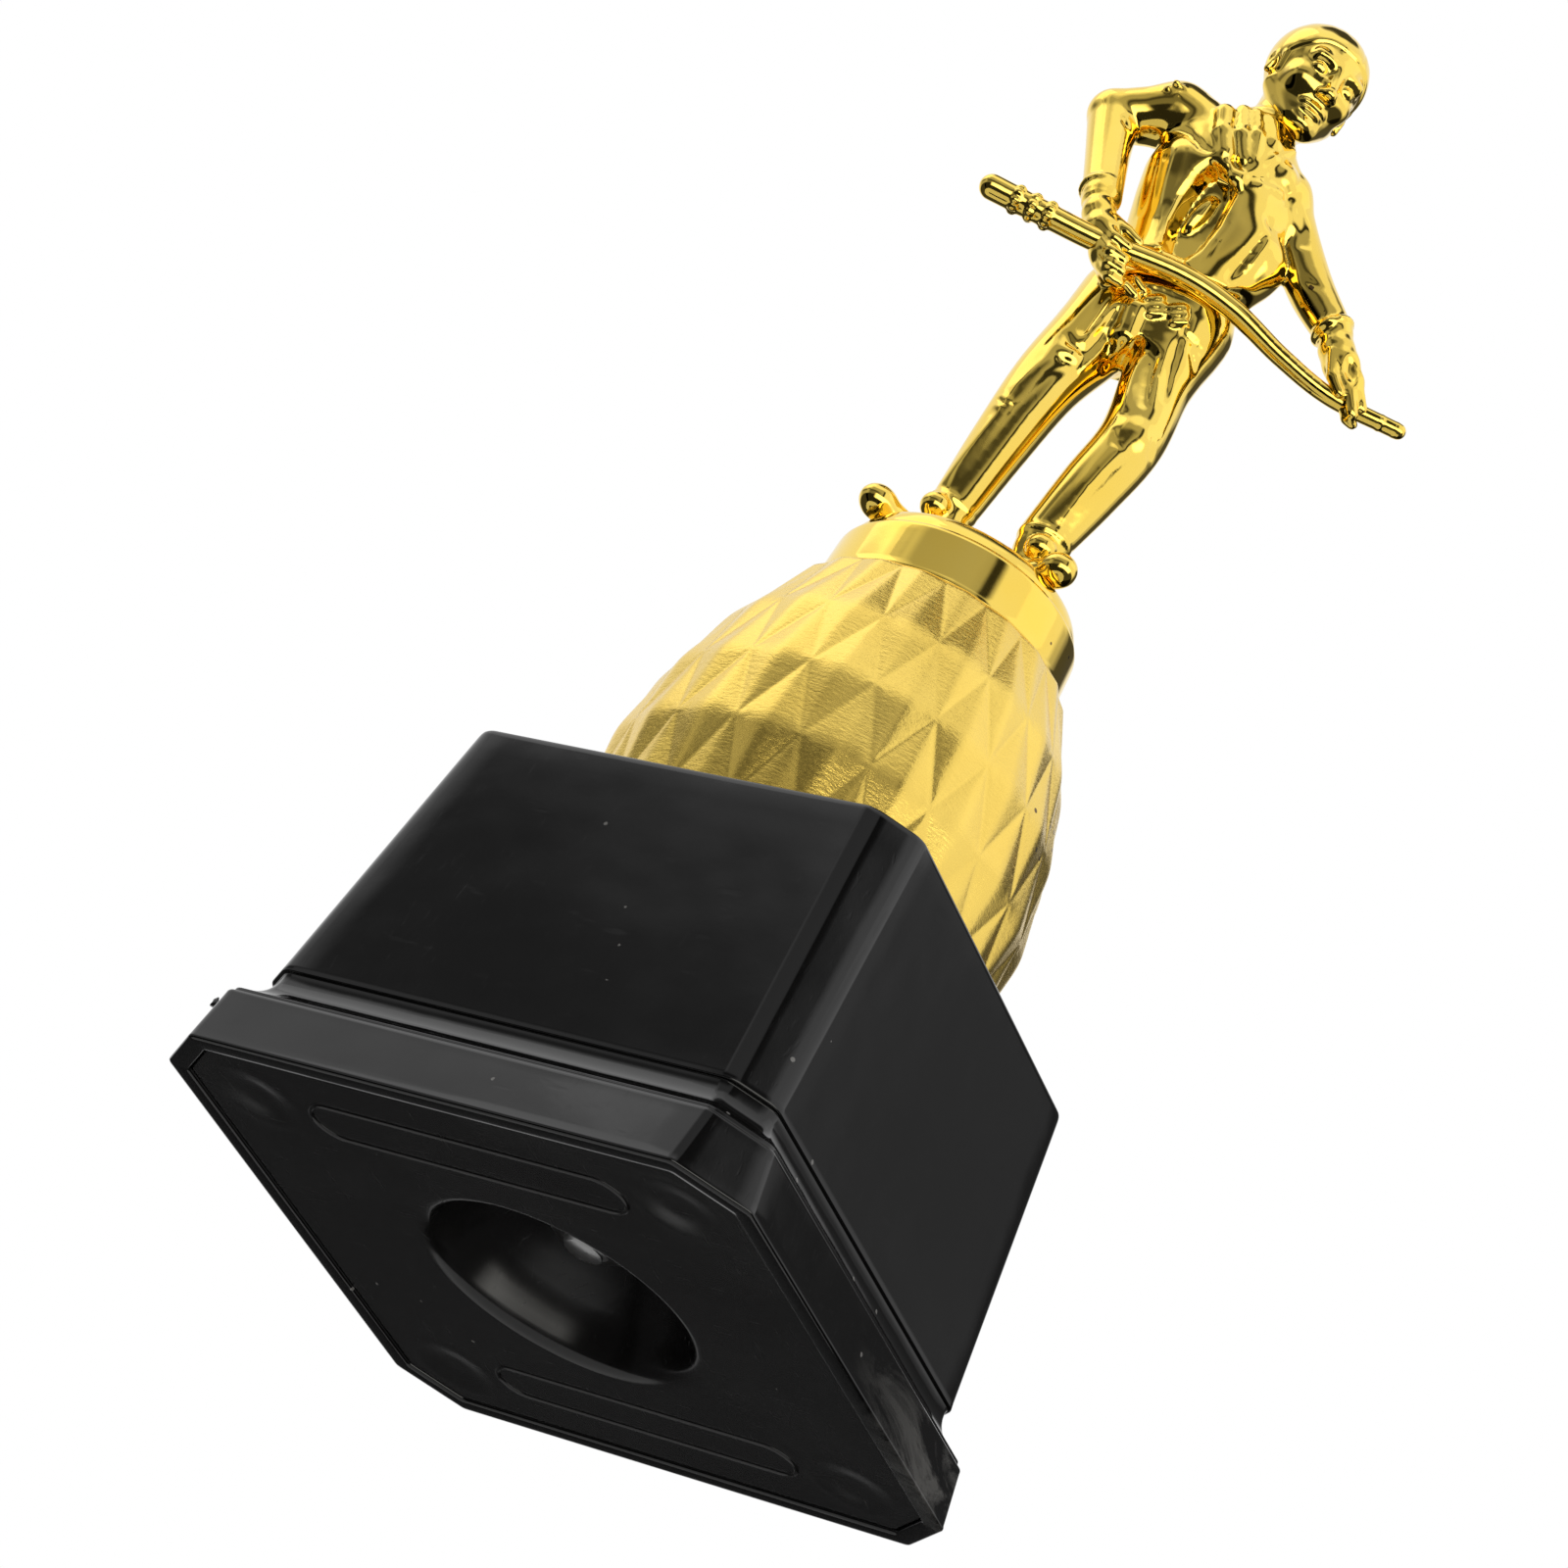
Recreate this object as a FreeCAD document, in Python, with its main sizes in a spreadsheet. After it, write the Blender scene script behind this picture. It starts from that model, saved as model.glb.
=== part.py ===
import FreeCAD, Part
import math
import os

# Figure trophy: a square black pedestal, a faceted gold riser, a bright gold cap
# and a standing cue-sports player.  Millimetres, +Z up, origin at the centre of
# the standing face, -Y is the front side of the pedestal.

V = FreeCAD.Vector
doc = FreeCAD.newDocument("figure_trophy")
dims = doc.addObject("Spreadsheet::Sheet", "dims")

CELLS = [
    # pedestal shell
    ("foot_half", 40.0), ("foot_chamfer", 7.2), ("foot_top_half", 38.45), ("foot_top_chamfer", 5.65),
    ("foot_height", 8.05), ("foot_edge_radius", 1.3),
    ("cove_half", 38.0), ("cove_chamfer", 5.5), ("cove_neck_half", 34.7), ("cove_neck_chamfer", 4.4),
    ("cove_radius", 4.8), ("cove_axis_height", 13.2), ("cove_top", 13.9),
    ("block_half", 35.05), ("block_chamfer", 4.35), ("block_top_half", 31.9), ("block_top_chamfer", 4.8),
    ("block_top", 53.3), ("block_edge_radius", 1.6),
    ("wall", 2.4), ("deck", 3.0), ("plate_seat_half", 37.4), ("plate_seat_depth", 2.8), ("skirt_hollow_half", 35.6),
    # bottom plate
    ("plate_gap", 0.1), ("plate_recess", 0.4), ("plate_thick", 2.4), ("plate_chamfer", 5.6),
    ("bowl_mouth_radius", 17.9), ("bowl_floor_radius", 10.4), ("bowl_floor", 14.0), ("bowl_wall", 2.0),
    ("post_offset", 29.0), ("post_radius", 3.4), ("dimple_radius", 9.0), ("dimple_depth", 0.35),
    ("panel_half_length", 18.2), ("panel_radius", 3.6), ("panel_line", 0.7), ("panel_offset", 27.6), ("panel_proud", 0.3),
    # weight
    ("weight_half", 26.0), ("weight_thick", 10.0), ("weight_bore", 8.0), ("weight_chamfer", 6.0),
    # fixing
    ("rod_radius", 3.0), ("rod_bottom", 6.3), ("rod_top", 104.3), ("rod_clearance", 3.4),
    ("washer_radius", 6.4), ("washer_thick", 1.2), ("nut_flats", 10.0), ("nut_thick", 5.0),
    # riser
    ("facets_around", 20.0), ("facet_start_deg", 1.0), ("groove_depth", 0.6),
    ("riser_ring_one", 64.6), ("riser_ring_two", 75.4), ("riser_ring_three", 86.2), ("riser_ring_four", 97.0),
    ("riser_crest_base", 27.9), ("riser_crest_one", 28.5), ("riser_crest_two", 27.1), ("riser_crest_three", 23.95),
    ("riser_crest_four", 18.9), ("riser_seat", 97.7), ("riser_seat_radius", 17.35), ("riser_wall", 2.3), ("riser_deck", 3.2),
    # cap
    ("cap_radius", 17.1), ("cap_rim_height", 105.2), ("cap_rim_radius", 16.75), ("cap_top_radius", 15.0), ("cap_top", 108.1),
    ("cap_wall", 1.8), ("cap_deck", 2.6), ("boss_radius", 8.0), ("peg_radius", 1.5), ("peg_length", 2.0),
]
for row, (alias, value) in enumerate(CELLS, start=1):
    dims.set("A%d" % row, alias)
    dims.set("B%d" % row, "%g" % value)
    dims.setAlias("B%d" % row, alias)

# The player's pose: centre of each section and its radius, in millimetres.
pose = doc.addObject("Spreadsheet::Sheet", "pose")
JOINTS = [
    ("hip_right", 2.3, -1.1, 157.1, 6.0), ("thigh_right", -0.2, -3.4, 149.3, 5.5), ("knee_right", -2.1, -5.5, 139.5, 4.9),
    ("calf_right", -3.4, -5.2, 128.6, 4.3), ("ankle_right", -4.8, -4.6, 118.3, 3.4), ("cuff_right", -4.7, -3.9, 112.6, 3.0),
    ("hip_left", 9.5, 0.9, 156.6, 6.2), ("thigh_left", 10.7, 0.6, 146.1, 5.1), ("knee_left", 11.5, 0.0, 136.0, 4.8),
    ("calf_left", 9.7, -0.6, 126.9, 4.4), ("ankle_left", 7.6, -1.1, 118.0, 3.6), ("cuff_left", 6.4, -1.2, 112.6, 3.1),
    ("shoulder_right", -3.8, -6.5, 188.2, 4.6), ("elbow_right", -12.0, -9.3, 183.9, 4.0), ("forearm_right", -8.0, -10.3, 175.4, 3.0),
    ("wrist_right", -3.7, -11.3, 165.9, 2.5), ("fist_right", 0.5, -11.9, 158.9, 3.1),
    ("shoulder_left", 12.3, 2.5, 182.9, 4.2), ("upper_arm_left", 15.9, 4.6, 177.2, 3.75), ("elbow_left", 20.2, 6.8, 170.8, 3.6),
    ("wrist_left", 25.5, 8.2, 164.9, 2.6), ("hand_left", 28.6, 9.4, 159.4, 2.6), ("fingers_left", 30.6, 10.6, 155.2, 2.2),
    ("heel_right", -3.4, -1.8, 110.6, 2.6), ("ball_right", -7.4, -9.3, 110.3, 2.7), ("toe_right", -9.3, -12.9, 109.9, 2.2),
    ("heel_left", 4.4, 0.0, 110.6, 2.6), ("ball_left", 10.8, -3.2, 110.3, 2.7), ("toe_left", 14.3, -4.8, 109.9, 2.2),
    ("cue_butt", -13.9, -20.2, 158.5, 1.7), ("cue_grip", 0.1, -12.0, 158.4, 1.6), ("cue_front", 9.8, -7.1, 158.9, 1.45),
    ("cue_middle", 16.5, -2.6, 158.1, 1.35), ("cue_shaft", 22.8, 3.2, 156.2, 1.25), ("cue_bridge", 28.7, 8.8, 155.3, 1.15),
    ("cue_tip", 36.4, 15.5, 156.5, 1.1),
    ("head", 9.4, -1.2, 200.6, 7.0), ("neck_base", 5.2, -1.6, 188.5, 4.2), ("neck_top", 7.6, -1.6, 195.5, 3.9),
]
for row, (name, cx, cy, cz, cr) in enumerate(JOINTS, start=1):
    pose.set("A%d" % row, name)
    for col, (suffix, value) in zip("BCDE", (("x", cx), ("y", cy), ("z", cz), ("radius", cr))):
        pose.set("%s%d" % (col, row), "%g" % value)
        pose.setAlias("%s%d" % (col, row), "%s_%s" % (name, suffix))
doc.recompute()


def d(alias):
    return float(dims.get(alias))


def at(name):
    return V(float(pose.get(name + "_x")), float(pose.get(name + "_y")), float(pose.get(name + "_z")))


def rad(name):
    return float(pose.get(name + "_radius"))


def bind(obj, **expressions):
    for prop, text in expressions.items():
        obj.setExpression(prop.replace("__", "."), text)
    return obj


def add(kind, name):
    return doc.addObject(kind, name)


# ---------------------------------------------------------------- square bodies
# A square with cut corners is the common part of a wedge and the same wedge
# turned by 45 degrees, so every width and every corner cut is a cell.
def wedge(name, low, high, z_low, z_high, turned):
    w = add("Part::Wedge", name)
    bind(w, Xmin="-(%s)" % low, Xmax=low, Zmin="-(%s)" % low, Zmax=low,
         X2min="-(%s)" % high, X2max=high, Z2min="-(%s)" % high, Z2max=high,
         Ymin=z_low, Ymax=z_high)
    turn = FreeCAD.Rotation(V(1, 0, 0), 90)
    if turned:
        turn = FreeCAD.Rotation(V(0, 0, 1), 45) * turn
    w.Placement = FreeCAD.Placement(V(0, 0, 0), turn)
    return w


def corner(half, cut):
    return "(2 * (%s) - (%s)) / sqrt(2)" % (half, cut)


def cut_square(name, low, low_cut, high, high_cut, z_low, z_high):
    both = add("Part::MultiCommon", name)
    both.Shapes = [wedge(name + "_sides", low, high, z_low, z_high, False),
                   wedge(name + "_corners", corner(low, low_cut), corner(high, high_cut), z_low, z_high, True)]
    return both


def upright_edges(shape):
    found = []
    for index, edge in enumerate(shape.Edges, start=1):
        a, b = edge.Vertexes[0].Point, edge.Vertexes[-1].Point
        if abs(a.z - b.z) > 0.6 * a.distanceToPoint(b) and a.distanceToPoint(b) > 1.0:
            found.append(index)
    return found


def rounded(name, base, radius):
    doc.recompute()
    soft = add("Part::Fillet", name)
    soft.Base = base
    soft.Edges = [(i, radius, radius) for i in upright_edges(base.Shape)]
    return soft


def cut(name, base, tool):
    c = add("Part::Cut", name)
    c.Base, c.Tool = base, tool
    return c


def fuse(name, shapes):
    f = add("Part::MultiFuse", name)
    f.Shapes = shapes
    return f


def cylinder(name, radius, height, z, x="0", y="0"):
    c = add("Part::Cylinder", name)
    return bind(c, Radius=radius, Height=height, Placement__Base__z=z, Placement__Base__x=x, Placement__Base__y=y)


def cone(name, low, high, height, z):
    c = add("Part::Cone", name)
    return bind(c, Radius1=low, Radius2=high, Height=height, Placement__Base__z=z)


# base shell: moulded foot, cove and tapered block, hollow from below
foot = rounded("foot_rounded", cut_square("foot_blank", "dims.foot_half", "dims.foot_chamfer", "dims.foot_top_half",
                                          "dims.foot_top_chamfer", "0", "dims.foot_height"), d("foot_edge_radius"))
cove_blank = cut_square("cove_blank", "dims.cove_half", "dims.cove_chamfer", "dims.cove_half", "dims.cove_chamfer",
                        "dims.foot_height", "dims.cove_top")
cove_tools = []
for k in range(8):
    out = "dims.cove_neck_half" if k % 2 == 0 else corner("dims.cove_neck_half", "dims.cove_neck_chamfer")
    angle = 45.0 * k
    turn = FreeCAD.Rotation(V(0, 0, 1), angle)
    scoop = add("Part::Cylinder", "cove_scoop_%d" % k)
    bind(scoop, Radius="dims.cove_radius", Height="90",
         Placement__Base__x="(%s + dims.cove_radius) * cos(%g) + 45 * sin(%g)" % (out, angle, angle),
         Placement__Base__y="(%s + dims.cove_radius) * sin(%g) - 45 * cos(%g)" % (out, angle, angle),
         Placement__Base__z="dims.cove_axis_height")
    scoop.Placement.Rotation = turn * FreeCAD.Rotation(V(1, 0, 0), -90)
    shave = add("Part::Box", "cove_shave_%d" % k)
    bind(shave, Length="dims.cove_radius", Width="90", Height="2",
         Placement__Base__x="(%s) * cos(%g) + 45 * sin(%g)" % (out, angle, angle),
         Placement__Base__y="(%s) * sin(%g) - 45 * cos(%g)" % (out, angle, angle),
         Placement__Base__z="dims.cove_axis_height")
    shave.Placement.Rotation = turn
    cove_tools += [scoop, shave]
cove = cut("cove", cove_blank, fuse("cove_tools", cove_tools))
block = rounded("block_rounded", cut_square("block_blank", "dims.block_half", "dims.block_chamfer", "dims.block_top_half",
                                            "dims.block_top_chamfer", "dims.cove_top", "dims.block_top"), d("block_edge_radius"))
shell_outer = fuse("shell_outer", [foot, cove, block])
seat = cut_square("plate_seat", "dims.plate_seat_half", "dims.plate_chamfer", "dims.plate_seat_half", "dims.plate_chamfer",
                  "-1", "dims.plate_seat_depth")
skirt_hollow = cut_square("skirt_hollow", "dims.skirt_hollow_half", "dims.plate_chamfer", "dims.skirt_hollow_half",
                          "dims.plate_chamfer", "dims.plate_seat_depth - 0.5", "dims.foot_height - dims.wall")
block_hollow = cut_square("block_hollow", "dims.block_half - dims.wall", "dims.block_chamfer", "dims.block_top_half - dims.wall",
                          "dims.block_top_chamfer", "dims.foot_height - dims.wall - 1", "dims.block_top - dims.deck")
shell_rod_hole = cylinder("shell_rod_hole", "dims.rod_clearance", "dims.deck + 4", "dims.block_top - dims.deck - 2")
base_shell = cut("base_shell", shell_outer, fuse("shell_hollow", [seat, skirt_hollow, block_hollow, shell_rod_hole]))

# bottom plate: set inside the foot, with a bowl that hides the nut, four posts
# that carry the weight, their sink dimples and two raised panel outlines
plate_flat = cut_square("plate_flat", "dims.plate_seat_half - dims.plate_gap", "dims.plate_chamfer",
                        "dims.plate_seat_half - dims.plate_gap", "dims.plate_chamfer",
                        "dims.plate_recess", "dims.plate_recess + dims.plate_thick")
bowl_outer = cone("bowl_outer", "dims.bowl_mouth_radius + dims.bowl_wall", "dims.bowl_floor_radius + dims.bowl_wall",
                  "dims.bowl_floor + dims.bowl_wall - dims.plate_recess", "dims.plate_recess")
plate_solids = [plate_flat, bowl_outer]
for k, (sx, sy) in enumerate([(1, 1), (-1, 1), (-1, -1), (1, -1)], start=1):
    plate_solids.append(cylinder("post_%d" % k, "dims.post_radius",
                                 "dims.bowl_floor + dims.bowl_wall - dims.plate_recess - 1", "dims.plate_recess + 1",
                                 "%d * dims.post_offset * 0.75" % sx, "%d * dims.post_offset * 0.75" % sy))
for k, side in enumerate((-1, 1), start=1):
    outline = add("Part::Feature", "panel_outline_%d" % k)
    half, r, line = d("panel_half_length"), d("panel_radius"), d("panel_line")

    def stadium(radius):
        return Part.makeBox(2 * half, 2 * radius, 1.0, V(-half, -radius, 0)).fuse(
            [Part.makeCylinder(radius, 1.0, V(-half, 0, 0)), Part.makeCylinder(radius, 1.0, V(half, 0, 0))])
    outline.Shape = stadium(r).cut(stadium(r - line)).removeSplitter()
    outline.Placement.Base = V(0, side * d("panel_offset"), d("plate_recess") - d("panel_proud"))
    plate_solids.append(outline)
bowl_inner = cone("bowl_inner", "dims.bowl_mouth_radius", "dims.bowl_floor_radius", "dims.bowl_floor - dims.plate_recess",
                  "dims.plate_recess")
bowl_mouth = cylinder("bowl_mouth", "dims.bowl_mouth_radius", "1", "dims.plate_recess - 1")
plate_tools = [bowl_inner, bowl_mouth, cylinder("plate_rod_hole", "dims.rod_clearance", "6", "dims.bowl_floor - 2")]
for k, (sx, sy) in enumerate([(1, 1), (-1, 1), (-1, -1), (1, -1)], start=1):
    dimple = add("Part::Sphere", "dimple_%d" % k)
    bind(dimple, Radius="dims.dimple_radius * 3", Placement__Base__x="%d * dims.post_offset" % sx,
         Placement__Base__y="%d * dims.post_offset" % sy,
         Placement__Base__z="dims.plate_recess + dims.dimple_depth - dims.dimple_radius * 3")
    plate_tools.append(dimple)
bottom_plate = cut("bottom_plate", fuse("plate_body", plate_solids), fuse("plate_tools", plate_tools))

# weight: a cast slab on the posts and on the rim of the bowl
slab = cut_square("weight_slab", "dims.weight_half", "dims.weight_chamfer", "dims.weight_half", "dims.weight_chamfer",
                  "dims.bowl_floor + dims.bowl_wall", "dims.bowl_floor + dims.bowl_wall + dims.weight_thick")
weight = cut("ballast_weight", slab, cylinder("weight_bore", "dims.weight_bore", "dims.weight_thick + 4",
                                              "dims.bowl_floor + dims.bowl_wall - 2"))

# tie rod, washer and lower nut in the bowl
tie_rod = cylinder("tie_rod", "dims.rod_radius", "dims.rod_top - dims.rod_bottom", "dims.rod_bottom")
washer = cut("lower_washer", cylinder("washer_disc", "dims.washer_radius", "dims.washer_thick", "dims.bowl_floor - dims.washer_thick"),
             cylinder("washer_hole", "dims.rod_radius + 0.2", "dims.washer_thick + 2", "dims.bowl_floor - dims.washer_thick - 1"))


def hexagon(name, z, height):
    p = add("Part::Prism", name)
    p.Polygon = 6
    return bind(p, Circumradius="dims.nut_flats / sqrt(3)", Height=height, Placement__Base__z=z)


def nut(name, z):
    crown = add("Part::MultiCommon", name + "_crown")
    crown.Shapes = [hexagon(name + "_hex", z, "dims.nut_thick"),
                    cone(name + "_lower_bevel", "dims.nut_flats / 2 * 0.98", "dims.nut_flats / 2 * 0.98 + dims.nut_thick * 1.8",
                         "dims.nut_thick", z),
                    cone(name + "_upper_bevel", "dims.nut_flats / 2 * 0.98 + dims.nut_thick * 1.8", "dims.nut_flats / 2 * 0.98",
                         "dims.nut_thick", z)]
    return cut(name, crown, cylinder(name + "_thread", "dims.rod_radius", "dims.nut_thick + 2", "(%s) - 1" % z))


lower_nut = nut("lower_nut", "dims.bowl_floor - dims.washer_thick - dims.nut_thick")
cap_nut = nut("cap_nut", "dims.rod_top - dims.nut_thick - 0.3")

# ---------------------------------------------------------------- riser
# Rings of crests and groove crossings alternate every half step, so each
# diamond is a low pyramid of four facets.
rings = [(d("block_top"), d("riser_crest_base")), (d("riser_ring_one"), d("riser_crest_one")),
         (d("riser_ring_two"), d("riser_crest_two")), (d("riser_ring_three"), d("riser_crest_three")),
         (d("riser_ring_four"), d("riser_crest_four"))]
count = int(d("facets_around"))


def ring_point(ring, step):
    z, crest = rings[ring]
    is_crossing = (ring + step) % 2 == 1
    r = crest - (d("groove_depth") if is_crossing else 0.0)
    angle = math.radians(d("facet_start_deg") + step * 180.0 / count)
    return V(r * math.cos(angle), r * math.sin(angle), z)


def triangle(a, b, c):
    return Part.Face(Part.makePolygon([a, b, c, a]))


faces = []
steps = 2 * count
for ring in range(4):
    for step in range(steps):
        a, b = ring_point(ring, step), ring_point(ring, step + 1)
        c, e = ring_point(ring + 1, step + 1), ring_point(ring + 1, step)
        if (ring + step) % 2 == 0:
            faces += [triangle(a, b, e), triangle(b, c, e)]
        else:
            faces += [triangle(a, b, c), triangle(a, c, e)]
seat_z, seat_r = d("riser_seat"), d("riser_seat_radius")
top = [V(seat_r * math.cos(math.radians(d("facet_start_deg") + s * 180.0 / count)),
         seat_r * math.sin(math.radians(d("facet_start_deg") + s * 180.0 / count)), seat_z) for s in range(steps)]
for step in range(steps):
    a, b = ring_point(4, step), ring_point(4, step + 1)
    c, e = top[(step + 1) % steps], top[step]
    faces += [triangle(a, b, c), triangle(a, c, e)]
faces.append(Part.Face(Part.makePolygon(top + [top[0]])))
low = [ring_point(0, s) for s in range(steps)]
faces.append(Part.Face(Part.makePolygon(low + [low[0]])))
facet_body = add("Part::Feature", "facet_body")
facet_body.Shape = Part.makeSolid(Part.makeShell(faces))
facet_body.Placement = FreeCAD.Placement()

names = ["block_top", "riser_ring_one", "riser_ring_two", "riser_ring_three"]
crests = ["riser_crest_base", "riser_crest_one", "riser_crest_two", "riser_crest_three", "riser_crest_four"]
inner = []
for k in range(3):
    low_z = "dims.%s - %g" % (names[k], 1.0 if k == 0 else 0.0)
    inner.append(cone("riser_hollow_%d" % k, "dims.%s - dims.groove_depth - dims.riser_wall" % crests[k],
                      "dims.%s - dims.groove_depth - dims.riser_wall" % crests[k + 1],
                      "dims.%s - (%s)" % (names[k + 1], low_z), low_z))
inner.append(cone("riser_hollow_3", "dims.riser_crest_three - dims.groove_depth - dims.riser_wall",
                  "dims.riser_crest_four - dims.groove_depth - dims.riser_wall + 0.6",
                  "dims.riser_seat - dims.riser_deck - dims.riser_ring_three", "dims.riser_ring_three"))
inner.append(cylinder("riser_rod_hole", "dims.rod_clearance", "dims.riser_deck + 4", "dims.riser_seat - dims.riser_deck - 2"))
riser = cut("riser", facet_body, fuse("riser_hollow", inner))

# ---------------------------------------------------------------- cap
cap_outer = fuse("cap_outer", [
    cone("cap_side", "dims.cap_radius", "dims.cap_rim_radius", "dims.cap_rim_height - dims.riser_seat", "dims.riser_seat"),
    cone("cap_bevel", "dims.cap_rim_radius", "dims.cap_top_radius", "dims.cap_top - dims.cap_rim_height", "dims.cap_rim_height")])
cap_room = cut("cap_room", cylinder("cap_bore", "dims.cap_rim_radius - dims.cap_wall",
                                    "dims.cap_top - dims.cap_deck - dims.riser_seat + 1", "dims.riser_seat - 1"),
               cylinder("cap_boss", "dims.boss_radius", "dims.cap_top - dims.riser_seat + 4", "dims.riser_seat - 2"))
cap_tools = [cap_room, hexagon("cap_nut_pocket", "dims.riser_seat - 1", "dims.rod_top - 0.3 - dims.riser_seat + 1"),
             cylinder("cap_rod_hole", "dims.rod_clearance", "dims.cap_top - dims.cap_deck - dims.riser_seat", "dims.riser_seat")]
PEGS = []
for side in ("right", "left"):
    mid = (at("heel_" + side) + at("ball_" + side)) * 0.5
    PEGS.append(mid)
    cap_tools.append(cylinder("peg_hole_" + side, "dims.peg_radius", "dims.peg_length + 1", "dims.cap_top - dims.peg_length",
                              "(pose.heel_%s_x + pose.ball_%s_x) / 2" % (side, side),
                              "(pose.heel_%s_y + pose.ball_%s_y) / 2" % (side, side)))
cap = cut("cap", cap_outer, fuse("cap_tools", cap_tools))


# ---------------------------------------------------------------- player
def ring_wire(centre, normal, radius):
    return Part.Wire(Part.Circle(centre, normal, radius).toShape())


def limb(points, radii):
    wires = []
    for k, p in enumerate(points):
        before, after = points[max(k - 1, 0)], points[min(k + 1, len(points) - 1)]
        wires.append((p, (after - before).normalize(), radii[k]))
    # one reference direction keeps the sections from twisting
    shapes = []
    side = None
    for p, n, r in wires:
        if side is None:
            side = n.cross(V(0, 0, 1)) if abs(n.z) < 0.9 else n.cross(V(0, 1, 0))
        side = (side - n * side.dot(n)).normalize()
        circle = Part.Circle(V(0, 0, 0), V(0, 0, 1), r).toShape()
        circle.Placement = FreeCAD.Placement(p, FreeCAD.Rotation(side, n.cross(side), n, "ZXY"))
        shapes.append(Part.Wire(circle))
    return Part.makeLoft(shapes, True, False)


def ball(centre, radius):
    return Part.makeSphere(radius, centre)


def named(*names):
    return limb([at(n) for n in names], [rad(n) for n in names])


def ellipsoid(centre, axes, sizes):
    m = FreeCAD.Matrix()
    m.scale(sizes[0], sizes[1], sizes[2])
    shape = Part.makeSphere(1.0).transformGeometry(m)
    shape.Placement = FreeCAD.Placement(centre, FreeCAD.Rotation(axes[0], axes[1], axes[2], "ZXY"))
    return shape


def section(centre, across, forward, half_width, half_depth):
    across = V(across).normalize()
    forward = V(forward)
    forward = (forward - across * forward.dot(across)).normalize()
    up = across.cross(forward)
    if up.z < 0:
        up = up * -1
    e = Part.Ellipse(V(0, 0, 0), half_width, half_depth).toShape()
    e.Placement = FreeCAD.Placement(centre, FreeCAD.Rotation(across, up.cross(across), up, "ZXY"))
    return Part.Wire(e)


across_hip, face_hip = V(0.946, 0.325, -0.03), V(0.325, -0.946, 0)
across_chest, face_chest = V(0.915, 0.40, -0.27), V(0.40, -0.915, 0)
torso = Part.makeLoft([
    section(V(5.9, -0.4, 151.5), across_hip, face_hip, 5.6, 4.6),
    section(V(5.9, -0.2, 157.0), across_hip, face_hip, 9.0, 6.0),
    section(V(5.6, -0.2, 162.5), across_hip, face_hip, 9.2, 6.1),
    section(V(5.3, -0.6, 167.5), across_hip + across_chest, face_hip, 8.6, 5.7),
    section(V(4.9, -1.2, 173.0), across_chest, face_chest, 8.9, 6.0),
    section(V(4.6, -1.8, 179.0), across_chest, face_chest, 9.6, 6.4),
    section(V(4.4, -1.9, 185.0), across_chest, face_chest, 8.6, 5.6),
    section(V(4.9, -1.8, 189.6), across_chest, face_chest, 4.9, 4.2)], True, False)

pieces = [torso,
          named("hip_right", "thigh_right", "knee_right", "calf_right", "ankle_right", "cuff_right"),
          named("hip_left", "thigh_left", "knee_left", "calf_left", "ankle_left", "cuff_left"),
          ball(at("hip_right"), rad("hip_right") * 1.015), ball(at("hip_left"), rad("hip_left") * 1.015),
          named("shoulder_right", "elbow_right"), ball(at("shoulder_right"), rad("shoulder_right") * 1.03),
          ball(at("elbow_right"), rad("elbow_right") * 1.02),
          limb([at("elbow_right"), at("forearm_right"), at("wrist_right"), at("fist_right")],
               [3.5, rad("forearm_right"), rad("wrist_right"), 2.3]),
          ball(at("fist_right"), rad("fist_right")),
          named("shoulder_left", "upper_arm_left", "elbow_left", "wrist_left", "hand_left"),
          ball(at("shoulder_left"), rad("shoulder_left") * 1.04), ball(at("hand_left"), rad("hand_left") * 1.03),
          named("hand_left", "fingers_left"), ball(at("fingers_left"), rad("fingers_left") * 1.05),
          named("neck_base", "neck_top"),
          ellipsoid(at("head"), (V(0.88, 0.42, -0.22).normalize(), V(0.42, -0.90, 0.0), V(0.2, 0.1, 0.97)), (6.7, 7.6, 9.0))]
for side in ("right", "left"):
    heel, mid, toe = at("heel_" + side), at("ball_" + side), at("toe_" + side)
    pieces += [limb([heel, (heel + mid) * 0.5 + V(0, 0, 0.2), mid, toe],
                    [rad("heel_" + side), 2.5, rad("ball_" + side), rad("toe_" + side)]),
               ball(heel, rad("heel_" + side) * 1.02), ball(toe, rad("toe_" + side) * 1.02),
               limb([at("ankle_" + side), (heel + mid) * 0.5 + V(0, 0, 2.4), mid + V(0, 0, 0.4)], [3.0, 2.7, 2.3])]
solid = pieces[0].multiFuse(pieces[1:])
below = Part.makeBox(80, 80, 20, V(-40, -40, d("cap_top") - 20))
solid = solid.cut(below)
solid = solid.multiFuse([Part.makeCylinder(d("peg_radius"), d("peg_length") + 1.5, V(p.x, p.y, d("cap_top") - d("peg_length")))
                         for p in PEGS])

# cue: bowed and tapered, with three bead rings near the butt
line = ["cue_butt", "cue_grip", "cue_front", "cue_middle", "cue_shaft", "cue_bridge", "cue_tip"]
shaft = named(*line)
along = (at("cue_grip") - at("cue_butt")).normalize()
beads = [Part.makeCylinder(2.05, 1.1, at("cue_butt") + along * s, along) for s in (3.1, 5.4, 7.7)]
rounded_butt = ball(at("cue_butt"), rad("cue_butt") * 1.01)
stick = shaft.multiFuse(beads + [rounded_butt])

cue = add("Part::Feature", "cue")
cue.Shape = stick
cue.Placement = FreeCAD.Placement()
figure = add("Part::Feature", "figure")
figure.Shape = solid.cut(stick)
figure.Placement = FreeCAD.Placement()

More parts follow.
